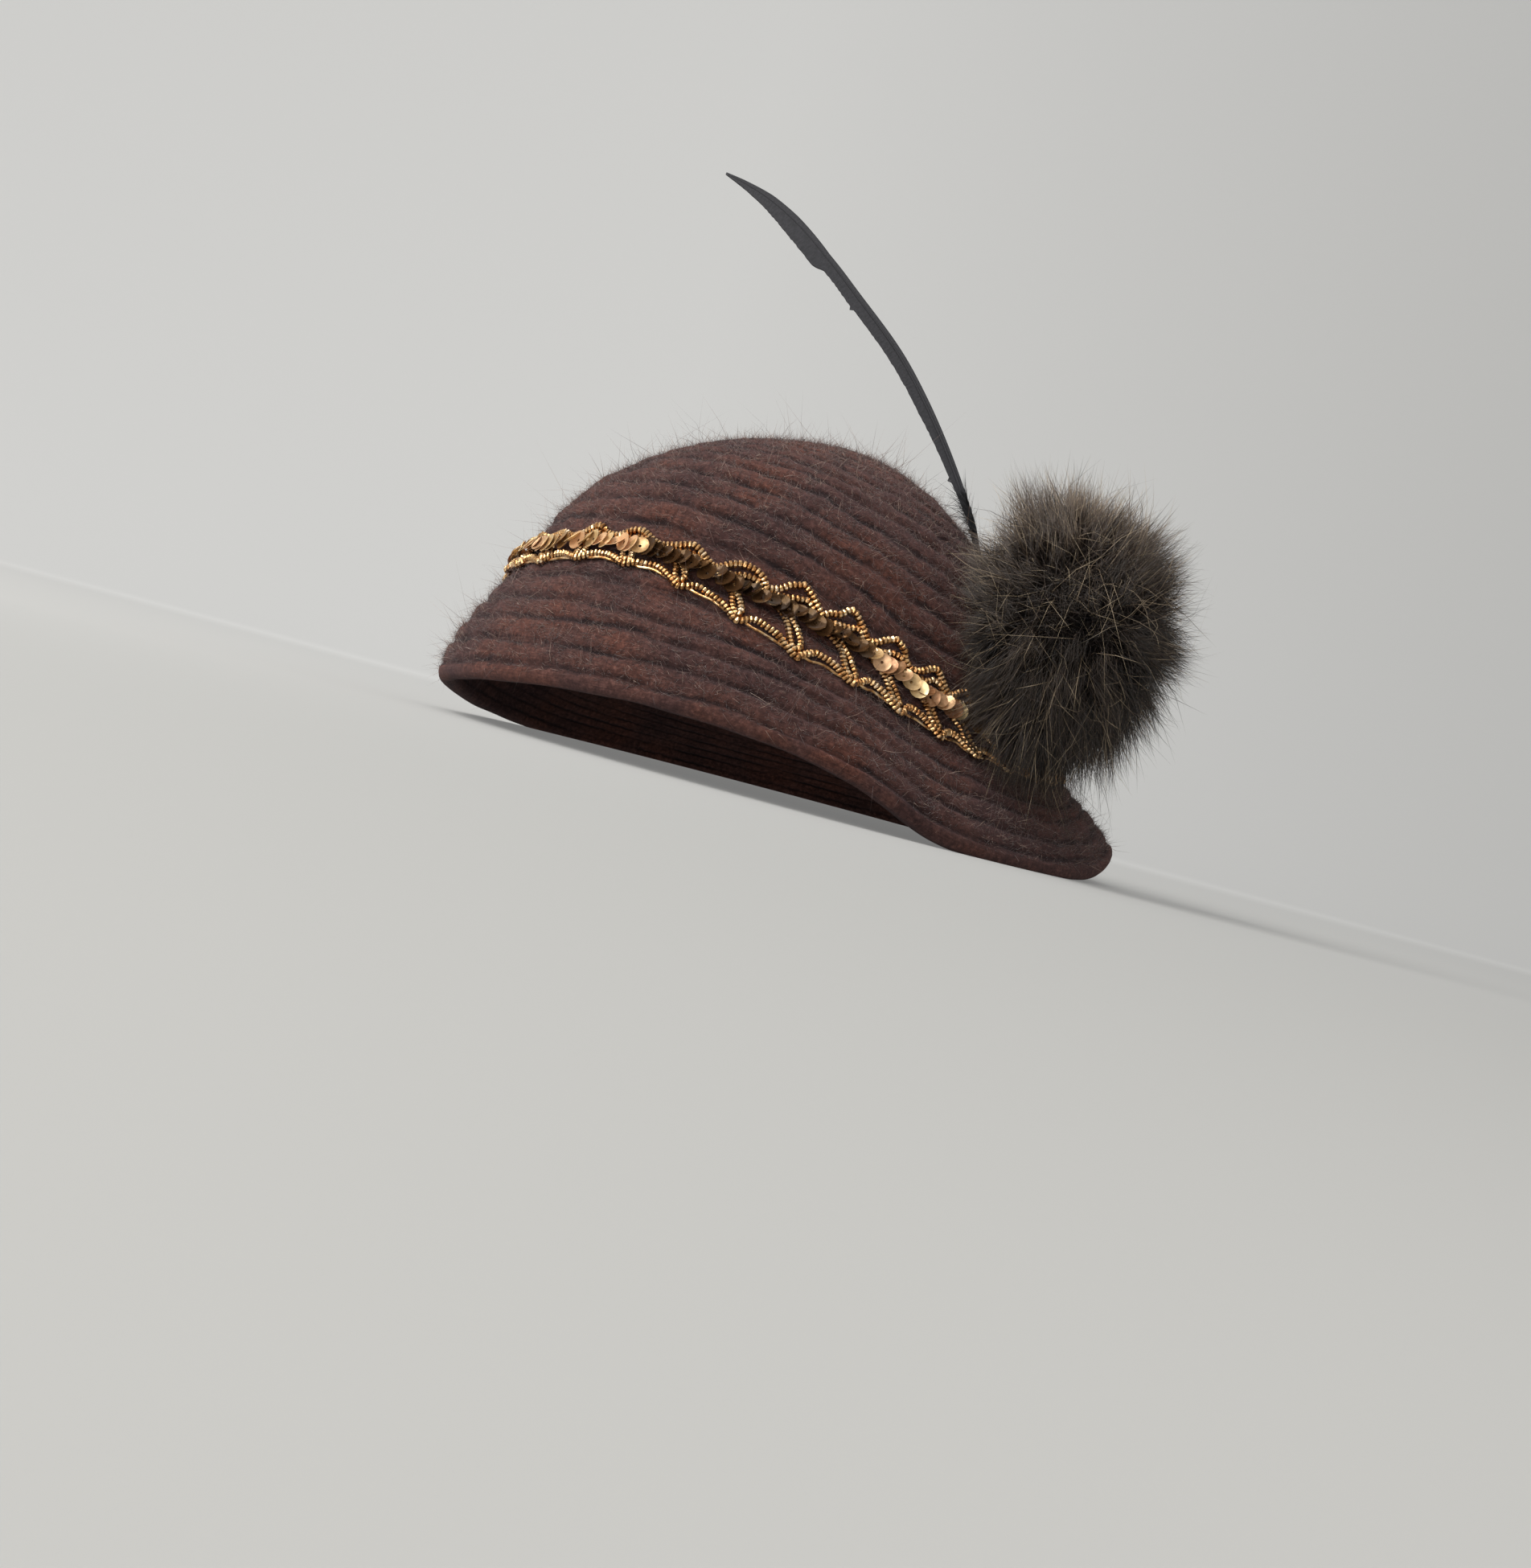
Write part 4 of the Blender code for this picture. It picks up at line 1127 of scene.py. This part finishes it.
def spread_directions(count, seed):
    """Directions spread evenly over a ball, a little disturbed."""
    k = np.arange(count) + 0.5
    z = 1 - 2 * k / count
    angle = np.pi * (1 + 5**0.5) * k
    flat = np.sqrt(1 - z**2)
    even = np.stack((flat * np.cos(angle), flat * np.sin(angle), z), 1)
    return unit(even + np.random.default_rng(seed).normal(size=even.shape) * 0.6 / count**0.5)


# Fur: dark brown guard hair over nearly black underfur, sleek, with pale worn tips here and there. The hairs
# are lighter on top with painted light, and lighter towards their tips, partly as paler tips and partly as
# painted shade near the roots.
UNDERFUR_COLOURS = ((0.35, "#141211"), (0.7, "#332b27"))
underfur, node, shader = new_material("underfur", Roughness=0.9, Specular_IOR_Level=0.1)
place = node("TexCoord", {}).outputs["Object"]
fluff = node("TexNoise", {"Scale": 260.0, "Detail": 4.0, "Vector": place})
set_node(shader, {
    "Base Color": node("ValToRGB", {"color_ramp": UNDERFUR_COLOURS, "Fac": fluff}),
    "Normal": node("Bump", {"Distance": 0.002, "Height": fluff}),
})
FUR_COLOURS = ((0.0, "#1b1918"), (0.40, "#493e36"), (0.70, "#82705c"), (1.0, "#c4b193"))
guard_hair = hair_material("guard_hair", FUR_COLOURS, Roughness=0.42, Specular_IOR_Level=0.4)

LOCK_WAYS = spread_directions(LOCKS, 3)
LOCK_LEAN = unit(np.random.default_rng(5).normal(size=(LOCKS, 3)))
LOCK_REACH = np.random.default_rng(6).uniform(0.92, 1.08, LOCKS)
LOCK_SHADE = np.random.default_rng(8).uniform(-0.10, 0.10, LOCKS)


def make_fur(name, ways, joints, longer, spread, thickness, pale):
    """Hairs in locks: each leans towards the tip of its lock, falls a little, and keeps clear of the hat."""
    count = len(ways)
    lock = np.argmax(ways @ LOCK_WAYS.T, axis=1)
    root = clear_of_hat(pompom_centre + (ways * (CORE_SHARE - 0.05)) @ POMPOM_AXES, ROOT_GAP, ROOT_GAP)
    radial = unit(ways @ POMPOM_AXES)
    low = np.clip(-ways[:, 2], 0, 1)
    reach = LOCK_REACH[lock] + longer + 0.07 * draw.normal(size=count) + 0.12 * draw.random(count) ** 4
    reach += low * (0.24 * draw.random(count) ** 2 - 0.07)
    for *way, width, more in POMPOM_SHAPE:
        away = np.arccos(np.clip(ways @ unit(np.array(way)), -1, 1))
        reach += more * np.exp(-((away / width) ** 2))
    lock_tip = unit(LOCK_WAYS[lock] + LOCK_LEAN[lock] * 0.20)
    tip_way = unit(ways * 0.34 + lock_tip * 0.66 + draw.normal(size=(count, 3)) * spread)
    tip = pompom_centre + (tip_way * reach[:, None]) @ POMPOM_AXES
    tip[:, 2] -= 0.003 + 0.012 * low * draw.random(count)
    tip = part_fur(clear_of_hat(tip, TIP_GAP, FUR_OVER_BRAID))
    gap = tip - root
    length = np.linalg.norm(gap, axis=1)
    start = unit(unit(gap) * 0.5 + radial * 0.6 + draw.normal(size=(count, 3)) * spread * 1.5)
    bend = gap / length[:, None] - start
    # Hairs on the top get a lighter shade: painted light from above. Locks and hairs also vary at random.
    top = np.clip(ways[:, 2], 0, 1)
    shades = -0.01 + 0.23 * top + LOCK_SHADE[lock] + 0.12 * draw.normal(size=count)
    shades = np.where(draw.random(count) < pale, 0.60, shades)
    radius = thickness * draw.uniform(0.7, 1.3, count)
    # Every hair is lighter towards its tip: partly paler tips, partly painted shade deep in the fur near the
    # roots.
    return hairs(name, joints, root, start, bend, length, radius, shades, tip_shade=0.30)


core = add_object("pompom_core", make_core(), underfur)
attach(core, "root")
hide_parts("pompom")
all_ways = spread_directions(FUR_EACH * 2, 11)
for name, ways, joints, longer, spread, thickness, pale in (
    ("pompom_fur_1", all_ways[0::2], 2, 0.0, 0.06, FUR_RADIUS, 0.02),
    ("pompom_fur_2", all_ways[1::2], 2, 0.0, 0.06, FUR_RADIUS, 0.02),
    ("pompom_loose_hair", spread_directions(LOOSE_HAIRS, 12), 3, 0.08, 0.28, LOOSE_RADIUS, 0.22),
):
    fur = add_object(name, make_fur(name, ways, joints, longer, spread, thickness, pale), guard_hair)
    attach(fur, "root")
    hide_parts("pompom")
